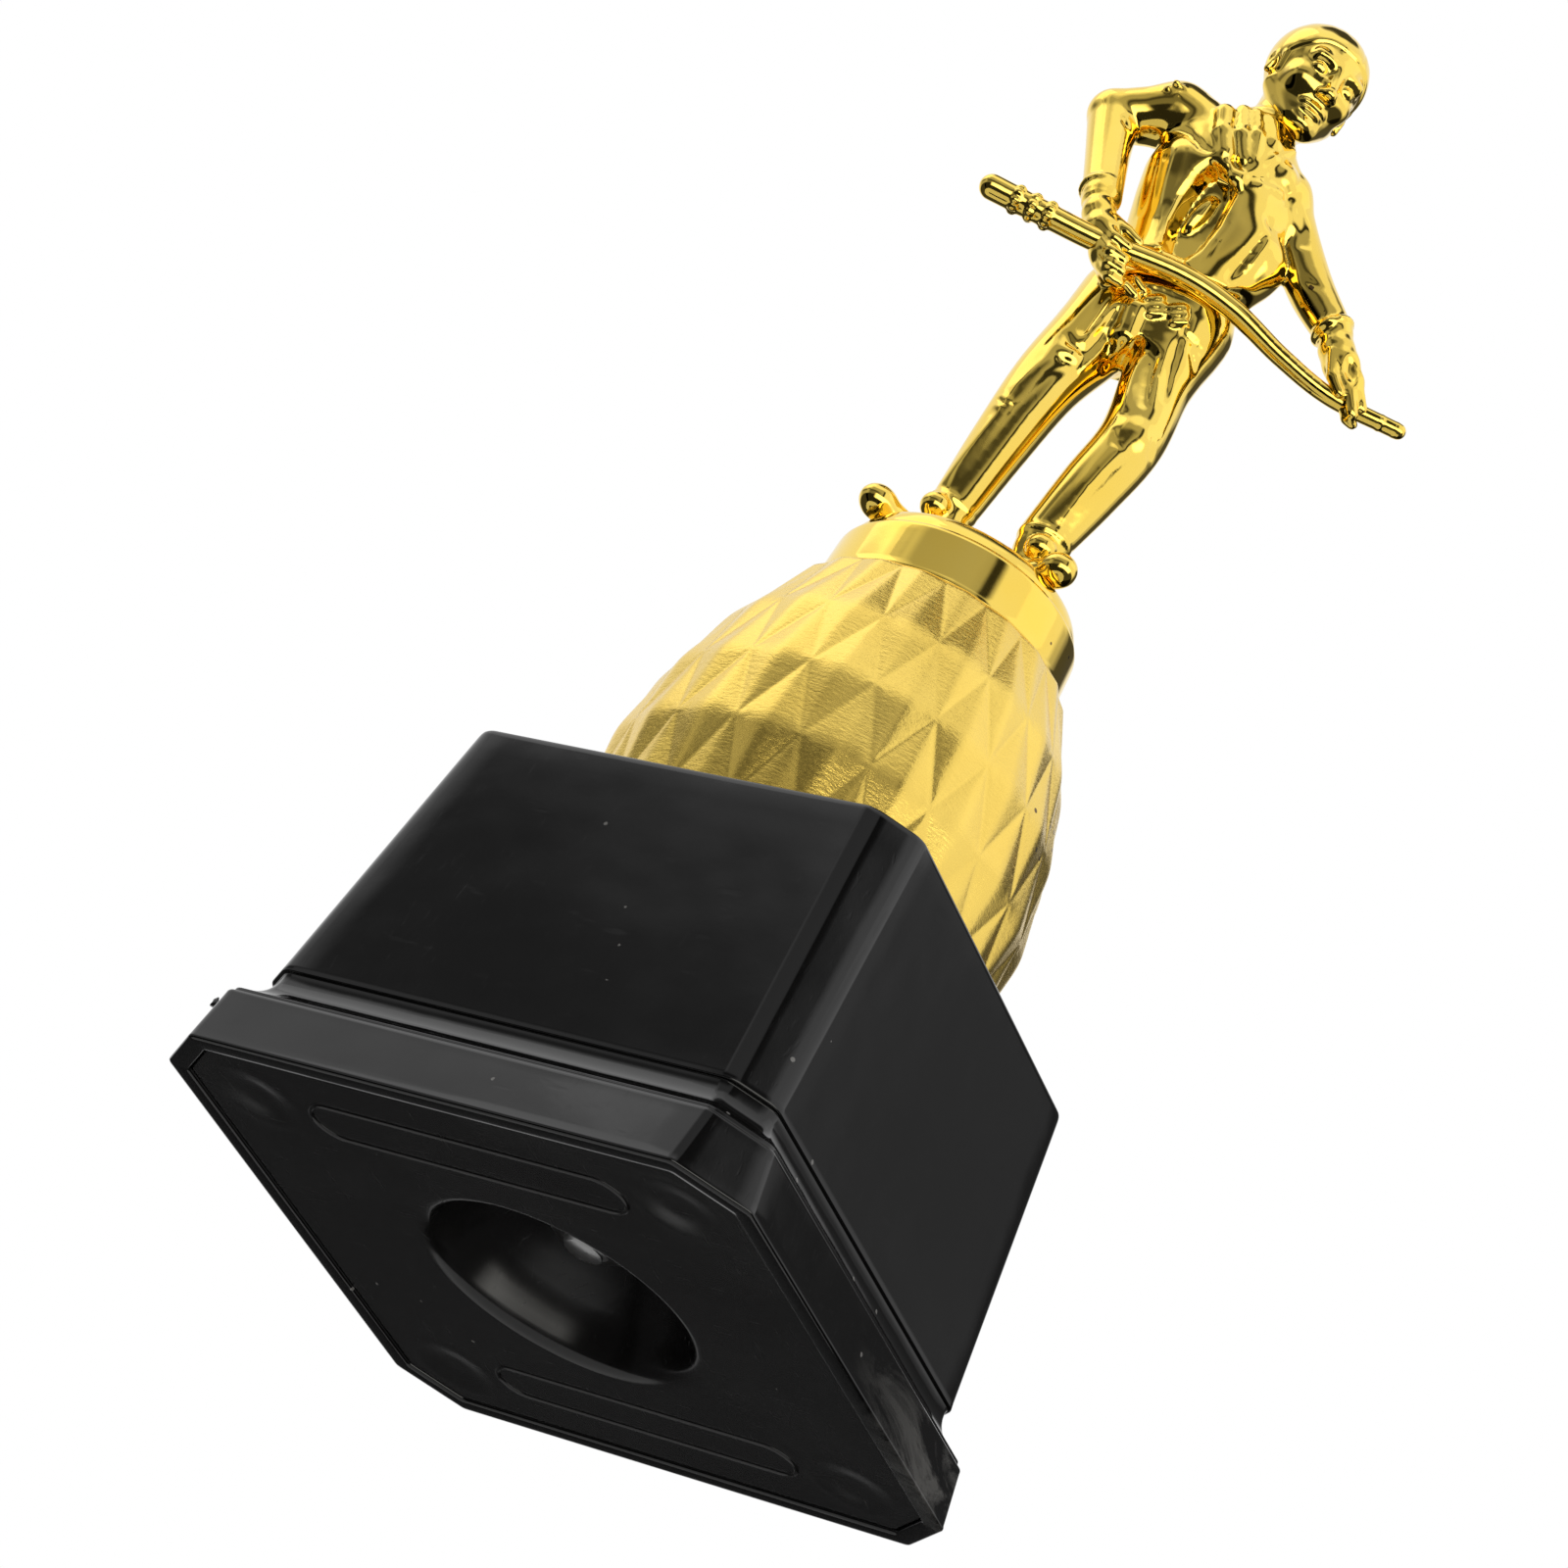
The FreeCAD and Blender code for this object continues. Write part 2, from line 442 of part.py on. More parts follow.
# ---------------------------------------------------------------- output
NODES = [(base_shell, "base_shell"), (bottom_plate, "bottom_plate"), (weight, "ballast_weight"), (tie_rod, "tie_rod"),
         (washer, "lower_washer"), (lower_nut, "lower_nut"), (riser, "riser"), (cap, "cap"), (cap_nut, "cap_nut"),
         (figure, "figure"), (cue, "cue")]
for obj, label in NODES:
    obj.Label = label
doc.recompute()
for obj in doc.Objects:
    if "Invalid" in obj.State or "Error" in obj.State:
        raise RuntimeError("%s did not recompute: %s" % (obj.Name, obj.State))
os.makedirs("parts", exist_ok=True)
for obj, label in NODES:
    shape = obj.Shape
    if shape.isNull() or not shape.isValid():
        raise RuntimeError("%s is not a valid shape" % label)
    print(label, len(shape.Solids), "solid(s)", round(shape.Volume, 1), "mm3",
          [round(x, 2) for x in (shape.BoundBox.XMin, shape.BoundBox.YMin, shape.BoundBox.ZMin,
                                 shape.BoundBox.XMax, shape.BoundBox.YMax, shape.BoundBox.ZMax)])
    shape.exportStep("parts/%s.step" % label)
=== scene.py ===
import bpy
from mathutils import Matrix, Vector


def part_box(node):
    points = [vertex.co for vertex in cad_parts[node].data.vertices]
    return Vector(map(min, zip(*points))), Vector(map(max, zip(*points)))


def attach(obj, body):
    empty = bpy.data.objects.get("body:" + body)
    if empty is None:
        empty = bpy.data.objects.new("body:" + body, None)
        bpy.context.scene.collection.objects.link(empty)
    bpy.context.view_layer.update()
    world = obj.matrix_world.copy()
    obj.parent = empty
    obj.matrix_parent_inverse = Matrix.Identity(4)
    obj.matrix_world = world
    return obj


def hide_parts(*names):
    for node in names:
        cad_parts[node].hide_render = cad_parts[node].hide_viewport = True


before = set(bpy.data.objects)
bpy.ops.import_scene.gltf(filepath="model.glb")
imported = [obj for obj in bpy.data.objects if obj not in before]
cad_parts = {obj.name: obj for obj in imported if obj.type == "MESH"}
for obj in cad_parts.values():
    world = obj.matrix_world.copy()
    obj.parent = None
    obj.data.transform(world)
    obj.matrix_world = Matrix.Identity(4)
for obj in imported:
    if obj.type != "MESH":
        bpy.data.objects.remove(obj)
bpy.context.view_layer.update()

import math

import bpy
import numpy as np
from mathutils import Matrix, Vector

MM = 0.001
TAU = 2 * math.pi


# ------------------------------------------------------------------ mesh tools
def make_mesh(name, verts, quads=None, tris=None, smooth=True):
    """A mesh object from numpy arrays in millimetres."""
    verts = np.asarray(verts, float) * MM
    me = bpy.data.meshes.new(name)
    loops, starts, totals = [], [], []
    at = 0
    for block, k in ((quads, 4), (tris, 3)):
        if block is None or len(block) == 0:
            continue
        block = np.asarray(block, np.int64)
        loops.append(block.ravel())
        starts.append(at + np.arange(len(block)) * k)
        totals.append(np.full(len(block), k))
        at += block.size
    loops = np.concatenate(loops).astype(np.int32)
    starts = np.concatenate(starts).astype(np.int32)
    totals = np.concatenate(totals).astype(np.int32)
    me.vertices.add(len(verts))
    me.vertices.foreach_set("co", verts.astype(np.float32).ravel())
    me.loops.add(len(loops))
    me.loops.foreach_set("vertex_index", loops)
    me.polygons.add(len(starts))
    me.polygons.foreach_set("loop_start", starts)
    me.polygons.foreach_set("loop_total", totals)
    me.update(calc_edges=True)
    me.validate(clean_customdata=False)
    me.polygons.foreach_set("use_smooth", np.full(len(me.polygons), smooth, dtype=bool))
    me.update()
    ob = bpy.data.objects.new(name, me)
    bpy.context.scene.collection.objects.link(ob)
    return ob


def ring_loft(rings, close_loop):
    """Quads between rings, each an (n, 3) array with the same n; the last ring joins the first if close_loop."""
    n = len(rings[0])
    verts = np.concatenate(rings)
    m = len(rings)
    quads = []
    j = np.arange(n)
    jn = (j + 1) % n
    for i in range(m if close_loop else m - 1):
        a, b = i * n, ((i + 1) % m) * n
        quads.append(np.stack([a + j, a + jn, b + jn, b + j], 1))
    return verts, np.concatenate(quads)


def capped(verts, quads, n, first=True, last=True):
    """Closes an open ring loft with triangle fans to centre points."""
    tris = []
    verts = list(map(tuple, verts))
    total = len(verts)
    j = np.arange(n)
    jn = (j + 1) % n
    if first:
        c = np.mean(np.array(verts[:n]), 0)
        verts.append(tuple(c))
        tris.append(np.stack([np.full(n, len(verts) - 1), jn, j], 1))
    if last:
        c = np.mean(np.array(verts[total - n:total]), 0)
        verts.append(tuple(c))
        tris.append(np.stack([np.full(n, len(verts) - 1), total - n + j, total - n + jn], 1))
    return np.array(verts), quads, np.concatenate(tris)


def circle_ring(r, z, n, phase=0.0):
    a = np.arange(n) / n * TAU + phase
    return np.stack([r * np.cos(a), r * np.sin(a), np.full(n, float(z))], 1)


def lathe(name, profile, n=128, closed=True):
    rings = [circle_ring(max(r, 1e-4), z, n) for r, z in profile]
    v, q = ring_loft(rings, closed)
    if closed:
        return make_mesh(name, v, q)
    v, q, t = capped(v, q, n)
    return make_mesh(name, v, q, t)


def arc(cx, cz, r, a0, a1, k):
    """Profile points on an arc, angles in degrees, in the (radius, height) plane."""
    return [(cx + r * math.cos(math.radians(a0 + (a1 - a0) * i / k)), cz + r * math.sin(math.radians(a0 + (a1 - a0) * i / k)))
            for i in range(k + 1)]


def flip(ob):
    ob.data.flip_normals()
    return ob


def outward(ob):
    """Points the faces outward, judged by the signed volume."""
    me = ob.data
    me.calc_loop_triangles()
    tri = np.zeros(len(me.loop_triangles) * 3, np.int32)
    me.loop_triangles.foreach_get("vertices", tri)
    co = np.zeros(len(me.vertices) * 3, np.float32)
    me.vertices.foreach_get("co", co)
    co = co.reshape(-1, 3).astype(float)
    a, b, c = (co[tri.reshape(-1, 3)[:, i]] for i in range(3))
    if np.einsum("ij,ij->i", a, np.cross(b, c)).sum() < 0:
        me.flip_normals()
    return ob


# ------------------------------------------------------------------ squared sections
N_SIDE, N_ARC, N_CUT = 18, 6, 5
R_MM = 1.0


def cut_square(half, cut, radius, z):
    """A square with cut corners whose eight corners are rounded, as one ring with a fixed point count."""
    pts = []
    h, c = half, cut
    corners = []
    for k in range(4):
        a = k * math.pi / 2
        ca, sa = math.cos(a), math.sin(a)
        for x, y in ((h, h - c), (h - c, h)):
            corners.append((x * ca - y * sa, x * sa + y * ca))
    m = len(corners)
    trim = radius * math.tan(math.radians(22.5))
    out = []
    for i in range(m):
        p0, p1, p2 = np.array(corners[i - 1]), np.array(corners[i]), np.array(corners[(i + 1) % m])
        d0 = (p0 - p1) / np.linalg.norm(p0 - p1)
        d1 = (p2 - p1) / np.linalg.norm(p2 - p1)
        bis = (d0 + d1) / np.linalg.norm(d0 + d1)
        centre = p1 + bis * (radius / math.cos(math.radians(22.5)))
        s, e = p1 + d0 * trim, p1 + d1 * trim
        a0 = math.atan2(*(s - centre)[::-1])
        a1 = math.atan2(*(e - centre)[::-1])
        while a1 < a0:
            a1 += TAU
        if a1 - a0 > math.pi:
            a1 -= TAU
        for j in range(N_ARC + 1):
            a = a0 + (a1 - a0) * j / N_ARC
            out.append(centre + radius * np.array([math.cos(a), math.sin(a)]))
        # straight run to the next corner
        q0, q2 = np.array(corners[(i + 1) % m]), np.array(corners[(i + 2) % m])
        nxt = q0 - d1 * trim
        k = N_CUT if i % 2 == 0 else N_SIDE
        for j in range(1, k):
            out.append(e + (nxt - e) * j / k)
    out = np.array(out)
    return np.concatenate([out, np.full((len(out), 1), float(z))], 1)


SQUARE = cut_square(40, 7.2, 1.2, 0)
SQUARE_ANGLE = np.arctan2(SQUARE[:, 1], SQUARE[:, 0])


def round_ring(r, z):
    """A circle whose points sit at the same bearings as the squared rings."""
    return np.stack([r * np.cos(SQUARE_ANGLE), r * np.sin(SQUARE_ANGLE), np.full(len(SQUARE_ANGLE), float(z))], 1)


def mixed(ring_a, ring_b, t):
    return ring_a * (1 - t) + ring_b * t


# ------------------------------------------------------------------ node shading helpers
class Nodes:
    def __init__(self, name):
        self.mat = bpy.data.materials.new(name)
        self.mat.use_nodes = True
        self.tree = self.mat.node_tree
        self.tree.nodes.clear()
        self.out = self.new("ShaderNodeOutputMaterial")
        self.bsdf = self.new("ShaderNodeBsdfPrincipled")
        self.link(self.bsdf.outputs[0], self.out.inputs[0])
        self.coord = self.new("ShaderNodeTexCoord").outputs["Object"]

    def new(self, kind, **props):
        n = self.tree.nodes.new(kind)
        for k, v in props.items():
            setattr(n, k, v)
        return n

    def link(self, a, b):
        self.tree.links.new(a, b)

    def set(self, node, **inputs):
        for k, v in inputs.items():
            sock = node.inputs[k.replace("_", " ")] if isinstance(k, str) else node.inputs[k]
            if hasattr(v, "links") or isinstance(v, bpy.types.NodeSocket):
                self.link(v, sock)
            else:
                sock.default_value = v
        return node

    def math(self, op, a, b=None, c=None, clamp=False):
        n = self.new("ShaderNodeMath", operation=op, use_clamp=clamp)
        for i, v in enumerate((a, b, c)):
            if v is None:
                continue
            if isinstance(v, bpy.types.NodeSocket):
                self.link(v, n.inputs[i])
            else:
                n.inputs[i].default_value = v
        return n.outputs[0]

    def noise(self, vector, scale, detail=3.0, rough=0.5, distortion=0.0):
        n = self.new("ShaderNodeTexNoise")
        self.link(vector, n.inputs["Vector"])
        n.inputs["Scale"].default_value = scale
        n.inputs["Detail"].default_value = detail
        n.inputs["Roughness"].default_value = rough
        n.inputs["Distortion"].default_value = distortion
        return n.outputs["Fac"]

    def voronoi(self, vector, scale, feature="F1", randomness=1.0):
        n = self.new("ShaderNodeTexVoronoi", feature=feature)
        self.link(vector, n.inputs["Vector"])
        n.inputs["Scale"].default_value = scale
        n.inputs["Randomness"].default_value = randomness
        return n

    def scaled(self, vector, sx, sy, sz, rot=(0, 0, 0)):
        n = self.new("ShaderNodeMapping")
        self.link(vector, n.inputs["Vector"])
        n.inputs["Scale"].default_value = (sx, sy, sz)
        n.inputs["Rotation"].default_value = rot
        return n.outputs[0]

    def ramp(self, fac, stops, interpolation="LINEAR"):
        n = self.new("ShaderNodeValToRGB")
        n.color_ramp.interpolation = interpolation
        el = n.color_ramp.elements
        while len(el) > 1:
            el.remove(el[-1])
        for i, (pos, col) in enumerate(stops):
            e = el[0] if i == 0 else el.new(pos)
            e.position = pos
            e.color = (*col, 1.0) if len(col) == 3 else col
        self.link(fac, n.inputs["Fac"])
        return n.outputs["Color"]

    def range(self, v, a, b, c, d):
        n = self.new("ShaderNodeMapRange")
        self.link(v, n.inputs["Value"])
        for k, x in zip(("From Min", "From Max", "To Min", "To Max"), (a, b, c, d)):
            n.inputs[k].default_value = x
        return n.outputs["Result"]

    def mix(self, fac, a, b):
        n = self.new("ShaderNodeMix", data_type="RGBA")
        for name, v in (("Factor", fac),):
            if isinstance(v, bpy.types.NodeSocket):
                self.link(v, n.inputs[0])
            else:
                n.inputs[0].default_value = v
        for idx, v in ((6, a), (7, b)):
            if isinstance(v, bpy.types.NodeSocket):
                self.link(v, n.inputs[idx])
            else:
                n.inputs[idx].default_value = (*v, 1.0) if len(v) == 3 else v
        return n.outputs[2]

    def bump(self, height, strength, distance, normal=None):
        n = self.new("ShaderNodeBump")
        n.inputs["Strength"].default_value = strength
        n.inputs["Distance"].default_value = distance
        self.link(height, n.inputs["Height"])
        if normal is not None:
            self.link(normal, n.inputs["Normal"])
        return n.outputs["Normal"]


def bright_gold(name, seed=0.0, specks=()):
    m = Nodes(name)
    co = m.scaled(m.coord, 1, 1, 1)
    m.tree.nodes[-1].inputs["Location"].default_value = (seed, seed * 0.7, -seed)
    tone = m.noise(co, 90, 3, 0.55)
    col = m.mix(m.range(tone, 0.3, 0.7, 0, 1), (1.0, 0.70, 0.115), (1.0, 0.73, 0.15))
    pits = m.voronoi(co, 420, "F1").outputs["Distance"]
    pit_mask = m.noise(co, 60, 2, 0.5)
    pit = m.math("MULTIPLY", m.math("LESS_THAN", pits, 0.09), m.math("GREATER_THAN", pit_mask, 0.66))
    col = m.mix(pit, col, (0.24, 0.15, 0.05))
    for sx, sy, sz, sr in specks:
        d = m.new("ShaderNodeVectorMath")
        d.operation = "DISTANCE"
        m.link(m.coord, d.inputs[0])
        d.inputs[1].default_value = (sx * 0.001, sy * 0.001, sz * 0.001)
        edge = m.math("ADD", d.outputs["Value"], m.math("MULTIPLY", m.noise(m.coord, 1400, 2, 0.5), 0.0007))
        col = m.mix(m.math("LESS_THAN", edge, sr), col, (0.13, 0.075, 0.03))
    m.link(col, m.bsdf.inputs["Base Color"])
    m.bsdf.inputs["Metallic"].default_value = 1.0
    rough = m.range(m.noise(co, 140, 4, 0.6), 0.35, 0.75, 0.045, 0.12)
    m.link(rough, m.bsdf.inputs["Roughness"])
    wave = m.noise(co, 260, 3, 0.5)
    grain = m.noise(co, 1500, 2, 0.5)
    h = m.math("ADD", wave, m.math("MULTIPLY", grain, 0.12))
    m.link(m.bump(h, 0.22, 0.00003), m.bsdf.inputs["Normal"])
    m.bsdf.inputs["Specular IOR Level"].default_value = 0.5
    return m.mat


def satin_gold(name):
    m = Nodes(name)
    sep = m.new("ShaderNodeSeparateXYZ")
    m.link(m.coord, sep.inputs[0])
    ang = m.math("ARCTAN2", sep.outputs["Y"], sep.outputs["X"])
    # the brush lines wander a little up and down as they go round
    wander = m.noise(m.coord, 130, 3, 0.5)
    z = m.math("ADD", sep.outputs["Z"], m.math("MULTIPLY", wander, 0.0022))
    comb = m.new("ShaderNodeCombineXYZ")
    m.link(m.math("MULTIPLY", ang, 0.011), comb.inputs[0])
    m.link(z, comb.inputs[2])
    lines = m.noise(comb.outputs[0], 2600, 3, 0.6)
    comb2 = m.new("ShaderNodeCombineXYZ")
    m.link(m.math("MULTIPLY", ang, 0.0016), comb2.inputs[0])
    m.link(z, comb2.inputs[2])
    broad = m.noise(comb2.outputs[0], 900, 2, 0.5)
    grain = m.noise(m.coord, 4200, 2, 0.6)
    h = m.math("ADD", m.math("ADD", lines, m.math("MULTIPLY", broad, 0.8)), m.math("MULTIPLY", grain, 0.35))
    tone = m.noise(m.coord, 70, 3, 0.5)
    base = m.mix(m.range(tone, 0.3, 0.7, 0, 1), (0.90, 0.63, 0.125), (0.97, 0.70, 0.155))
    specks = m.voronoi(m.coord, 330, "F1").outputs["Distance"]
    where = m.noise(m.coord, 34, 2, 0.5)
    speck = m.math("MULTIPLY", m.math("LESS_THAN", specks, 0.11), m.math("GREATER_THAN", where, 0.60))
    m.link(m.mix(speck, base, (0.16, 0.1, 0.04)), m.bsdf.inputs["Base Color"])
    m.bsdf.inputs["Metallic"].default_value = 1.0
    m.link(m.range(lines, 0.3, 0.75, 0.19, 0.31), m.bsdf.inputs["Roughness"])
    m.link(m.bump(h, 0.4, 0.00012), m.bsdf.inputs["Normal"])
    m.bsdf.inputs["Specular IOR Level"].default_value = 0.5
    return m.mat


def black_gloss(name, base=0.009, rough=(0.07, 0.2), scratch=0.5, seed=0.0, foot_scuffs=False):
    m = Nodes(name)
    co = m.scaled(m.coord, 1, 1, 1)
    m.tree.nodes[-1].inputs["Location"].default_value = (seed, -seed, seed * 0.5)
    cloud = m.noise(co, 28, 5, 0.62, 0.6)
    fine = m.noise(co, 600, 3, 0.6)
    hair = m.noise(m.scaled(co, 1, 14, 3, (0.3, 0.5, 0.9)), 160, 2, 0.5)
    hair2 = m.noise(m.scaled(co, 16, 1, 2, (0.9, 0.2, 0.4)), 140, 2, 0.5)
    scr = m.math("MULTIPLY", m.math("ADD", m.range(hair, 0.66, 0.74, 0, 1), m.range(hair2, 0.67, 0.75, 0, 1)), scratch)
    smudge = m.range(cloud, 0.45, 0.72, 0, 1)
    r = m.math("ADD", m.math("MULTIPLY", smudge, rough[1] - rough[0]), rough[0])
    r = m.math("ADD", r, m.math("MULTIPLY", scr, 0.18))
    r = m.math("ADD", r, m.math("MULTIPLY", fine, 0.03), clamp=True)
    m.link(r, m.bsdf.inputs["Roughness"])
    dust = m.voronoi(co, 260, "F1").outputs["Distance"]
    where = m.noise(co, 45, 2, 0.5)
    d = m.math("MULTIPLY", m.math("LESS_THAN", dust, 0.075), m.math("GREATER_THAN", where, 0.6))
    col = m.mix(d, (base, base * 0.97, base * 0.97), (0.16, 0.155, 0.15))
    if foot_scuffs:
        low = m.new("ShaderNodeSeparateXYZ")
        m.link(m.coord, low.inputs[0])
        zone = m.math("MULTIPLY", m.range(low.outputs["Z"], 0.007, 0.010, 1, 0), m.range(low.outputs["Y"], -0.002, 0.022, 0, 1))
        zone = m.math("MULTIPLY", zone, m.range(low.outputs["X"], 0.036, 0.039, 0, 1))
        rub = m.noise(m.scaled(co, 1, 0.6, 2.2, (0.4, 0, 0)), 85, 5, 0.7, 1.2)
        col = m.mix(m.math("MULTIPLY", zone, m.range(rub, 0.48, 0.64, 0, 0.9)), col, (0.09, 0.088, 0.085))
    m.link(col, m.bsdf.inputs["Base Color"])
    m.bsdf.inputs["IOR"].default_value = 1.5
    m.bsdf.inputs["Specular IOR Level"].default_value = 0.5
    h = m.math("ADD", m.math("MULTIPLY", m.noise(co, 55, 2, 0.5), 1.0), m.math("MULTIPLY", scr, -0.03))
    h = m.math("ADD", h, m.math("MULTIPLY", fine, 0.02))
    m.link(m.bump(h, 0.25, 0.0006), m.bsdf.inputs["Normal"])
    return m.mat


def zinc(name, tint=(0.62, 0.63, 0.64)):
    m = Nodes(name)
    n1 = m.noise(m.coord, 500, 4, 0.6)
    n2 = m.noise(m.scaled(m.coord, 1, 1, 12), 260, 3, 0.6)
    col = m.mix(m.range(n1, 0.35, 0.7, 0, 1), tint, tuple(c * 0.72 for c in tint))
    m.link(col, m.bsdf.inputs["Base Color"])
    m.bsdf.inputs["Metallic"].default_value = 1.0
    m.link(m.range(n2, 0.3, 0.7, 0.22, 0.42), m.bsdf.inputs["Roughness"])
    m.link(m.bump(n2, 0.3, 0.0001), m.bsdf.inputs["Normal"])
    return m.mat


def cast(name):
    m = Nodes(name)
    n1 = m.noise(m.coord, 240, 5, 0.65)
    n2 = m.noise(m.coord, 900, 3, 0.6)
    m.link(m.mix(m.range(n1, 0.3, 0.7, 0, 1), (0.05, 0.048, 0.046), (0.13, 0.115, 0.1)), m.bsdf.inputs["Base Color"])
    m.bsdf.inputs["Metallic"].default_value = 0.6
    m.link(m.range(n1, 0.3, 0.7, 0.55, 0.8), m.bsdf.inputs["Roughness"])
    m.link(m.bump(m.math("ADD", n1, m.math("MULTIPLY", n2, 0.4)), 0.6, 0.0005), m.bsdf.inputs["Normal"])
    return m.mat


def finish_piece(ob, mat, nodes=(), node=None):
    ob.data.materials.clear()
    ob.data.materials.append(mat)
    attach(ob, "root")
    if nodes:
        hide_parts(*nodes)
    return ob


# ------------------------------------------------------------------ base shell
def smooth_profile_shell():
    rings = []

    def sq(h, c, r, z):
        rings.append(cut_square(h, c, r, z))

    # outside, going up: rounded lower edge, foot with slight draft, thin double ledge
    sq(39.45, 6.95, 1.1, 0.0)
    sq(39.75, 7.08, 1.2, 0.04)
    sq(39.93, 7.16, 1.3, 0.2)
    sq(40.0 - 0.06, 7.15, 1.35, 0.45)
    for t in np.linspace(0.08, 0.93, 8):
        sq(40.0 - 1.55 * t, 7.2 - 1.55 * t, 1.7, 8.05 * t)
    sq(38.52, 5.7, 1.5, 7.72)
    sq(38.42, 5.66, 1.5, 7.92)
    sq(38.24, 5.6, 1.45, 8.03)
    sq(38.1, 5.55, 1.4, 8.05)
    sq(38.0, 5.5, 1.4, 8.1)
    sq(37.98, 5.5, 1.4, 8.28)
    sq(37.96, 5.5, 1.4, 8.44)
    # cove: a scoop of 4.8 mm radius
    for z in (8.55, 8.62, 8.75, 8.95, 9.25, 9.65, 10.2, 10.8, 11.5, 12.2, 12.8, 13.2):
        h = 39.5 - math.sqrt(max(4.8 ** 2 - (13.2 - z) ** 2, 0))
        h = min(h, 37.93)
        cut = 4.4 + (5.5 - 4.4) * (h - 34.7) / 3.3
        sq(h, cut, 1.7 + 0.6 * (1 - (h - 34.7) / 3.3), z)
    sq(34.7, 4.4, 2.3, 13.55)
    sq(34.72, 4.4, 2.5, 13.68)
    sq(34.86, 4.38, 2.7, 13.74)
    sq(35.0, 4.36, 2.9, 13.8)
    sq(35.06, 4.35, 3.0, 13.95)
    # tapered block
    for t in np.linspace(0.02, 0.975, 16):
        sq(35.05 - 3.15 * t, 4.35 + 0.45 * t, 3.0 + 0.2 * t, 13.9 + 39.4 * t)
    sq(31.93, 4.8, 3.2, 52.72)
    sq(31.86, 4.78, 3.15, 52.98)
    sq(31.72, 4.74, 3.1, 53.17)
    sq(31.52, 4.68, 3.0, 53.27)
    sq(31.25, 4.6, 2.9, 53.3)
    # deck, in to the rod hole
    last = cut_square(30.5, 4.4, 2.6, 53.3)
    rings.append(last)
    for t, r in ((0.25, 24), (0.55, 18), (0.85, 11), (1.0, 6)):
        rings.append(mixed(last * np.array([r / 30.5, r / 30.5, 1.0]), round_ring(r, 53.3), t))
    rings.append(round_ring(3.7, 53.3))
    rings.append(round_ring(3.45, 53.2))
    rings.append(round_ring(3.4, 53.0))
    rings.append(round_ring(3.4, 50.6))
    rings.append(round_ring(3.7, 50.3))
    inner = cut_square(28.4, 4.6, 1.2, 50.3)
    for t, r in ((1.0, 6), (0.75, 12), (0.4, 20)):
        rings.append(mixed(inner * np.array([r / 28.4, r / 28.4, 1.0]), round_ring(r, 50.3), t))
    rings.append(inner)
    sq(29.2, 4.7, 1.2, 50.1)
    sq(29.55, 4.75, 1.2, 49.6)
    sq(32.62, 4.4, 1.2, 6.0)
    sq(32.9, 4.5, 1.2, 5.7)
    sq(33.3, 4.6, 1.2, 5.65)
    sq(35.3, 5.5, 1.2, 5.65)
    sq(35.55, 5.58, 1.2, 5.5)
    sq(35.6, 5.6, 1.2, 5.2)
    sq(35.6, 5.6, 1.2, 3.0)
    sq(35.75, 5.6, 1.2, 2.8)
    sq(37.2, 5.6, 1.2, 2.8)
    sq(37.4, 5.6, 1.2, 2.7)
    sq(37.4, 5.6, 1.2, 0.4)
    sq(37.5, 5.66, 1.15, 0.12)
    sq(37.75, 5.8, 1.1, 0.0)
    v, q = ring_loft(rings, True)
    # a crumb of moulding flash left standing on one corner of the ledge
    nib = [np.array([-38.0, -33.2, 7.9]) + circle_ring(r, 0, 8) * np.array([1, 0.6, 1]) + np.array([dx, dx * 0.4, h])
           for r, h, dx in ((0.75, 0.0, 0), (0.55, 0.45, -0.1), (0.4, 0.8, -0.25), (0.12, 1.25, -0.2))]
    nv, nq = ring_loft(nib, False)
    nv, nq, nt = capped(nv, nq, 8)
    return make_mesh("base_shell_moulding", np.concatenate([v, nv]), np.concatenate([q, nq + len(v)]), nt + len(v))


shell = outward(smooth_profile_shell())
BLACK = black_gloss("black_gloss_plastic", 0.0035, (0.05, 0.11), 0.3, 0.0, True)
finish_piece(shell, BLACK, ("base_shell",))


# ------------------------------------------------------------------ bottom plate
def smoothstep(x, a, b):
    t = np.clip((x - a) / (b - a), 0, 1)
    return t * t * (3 - 2 * t)


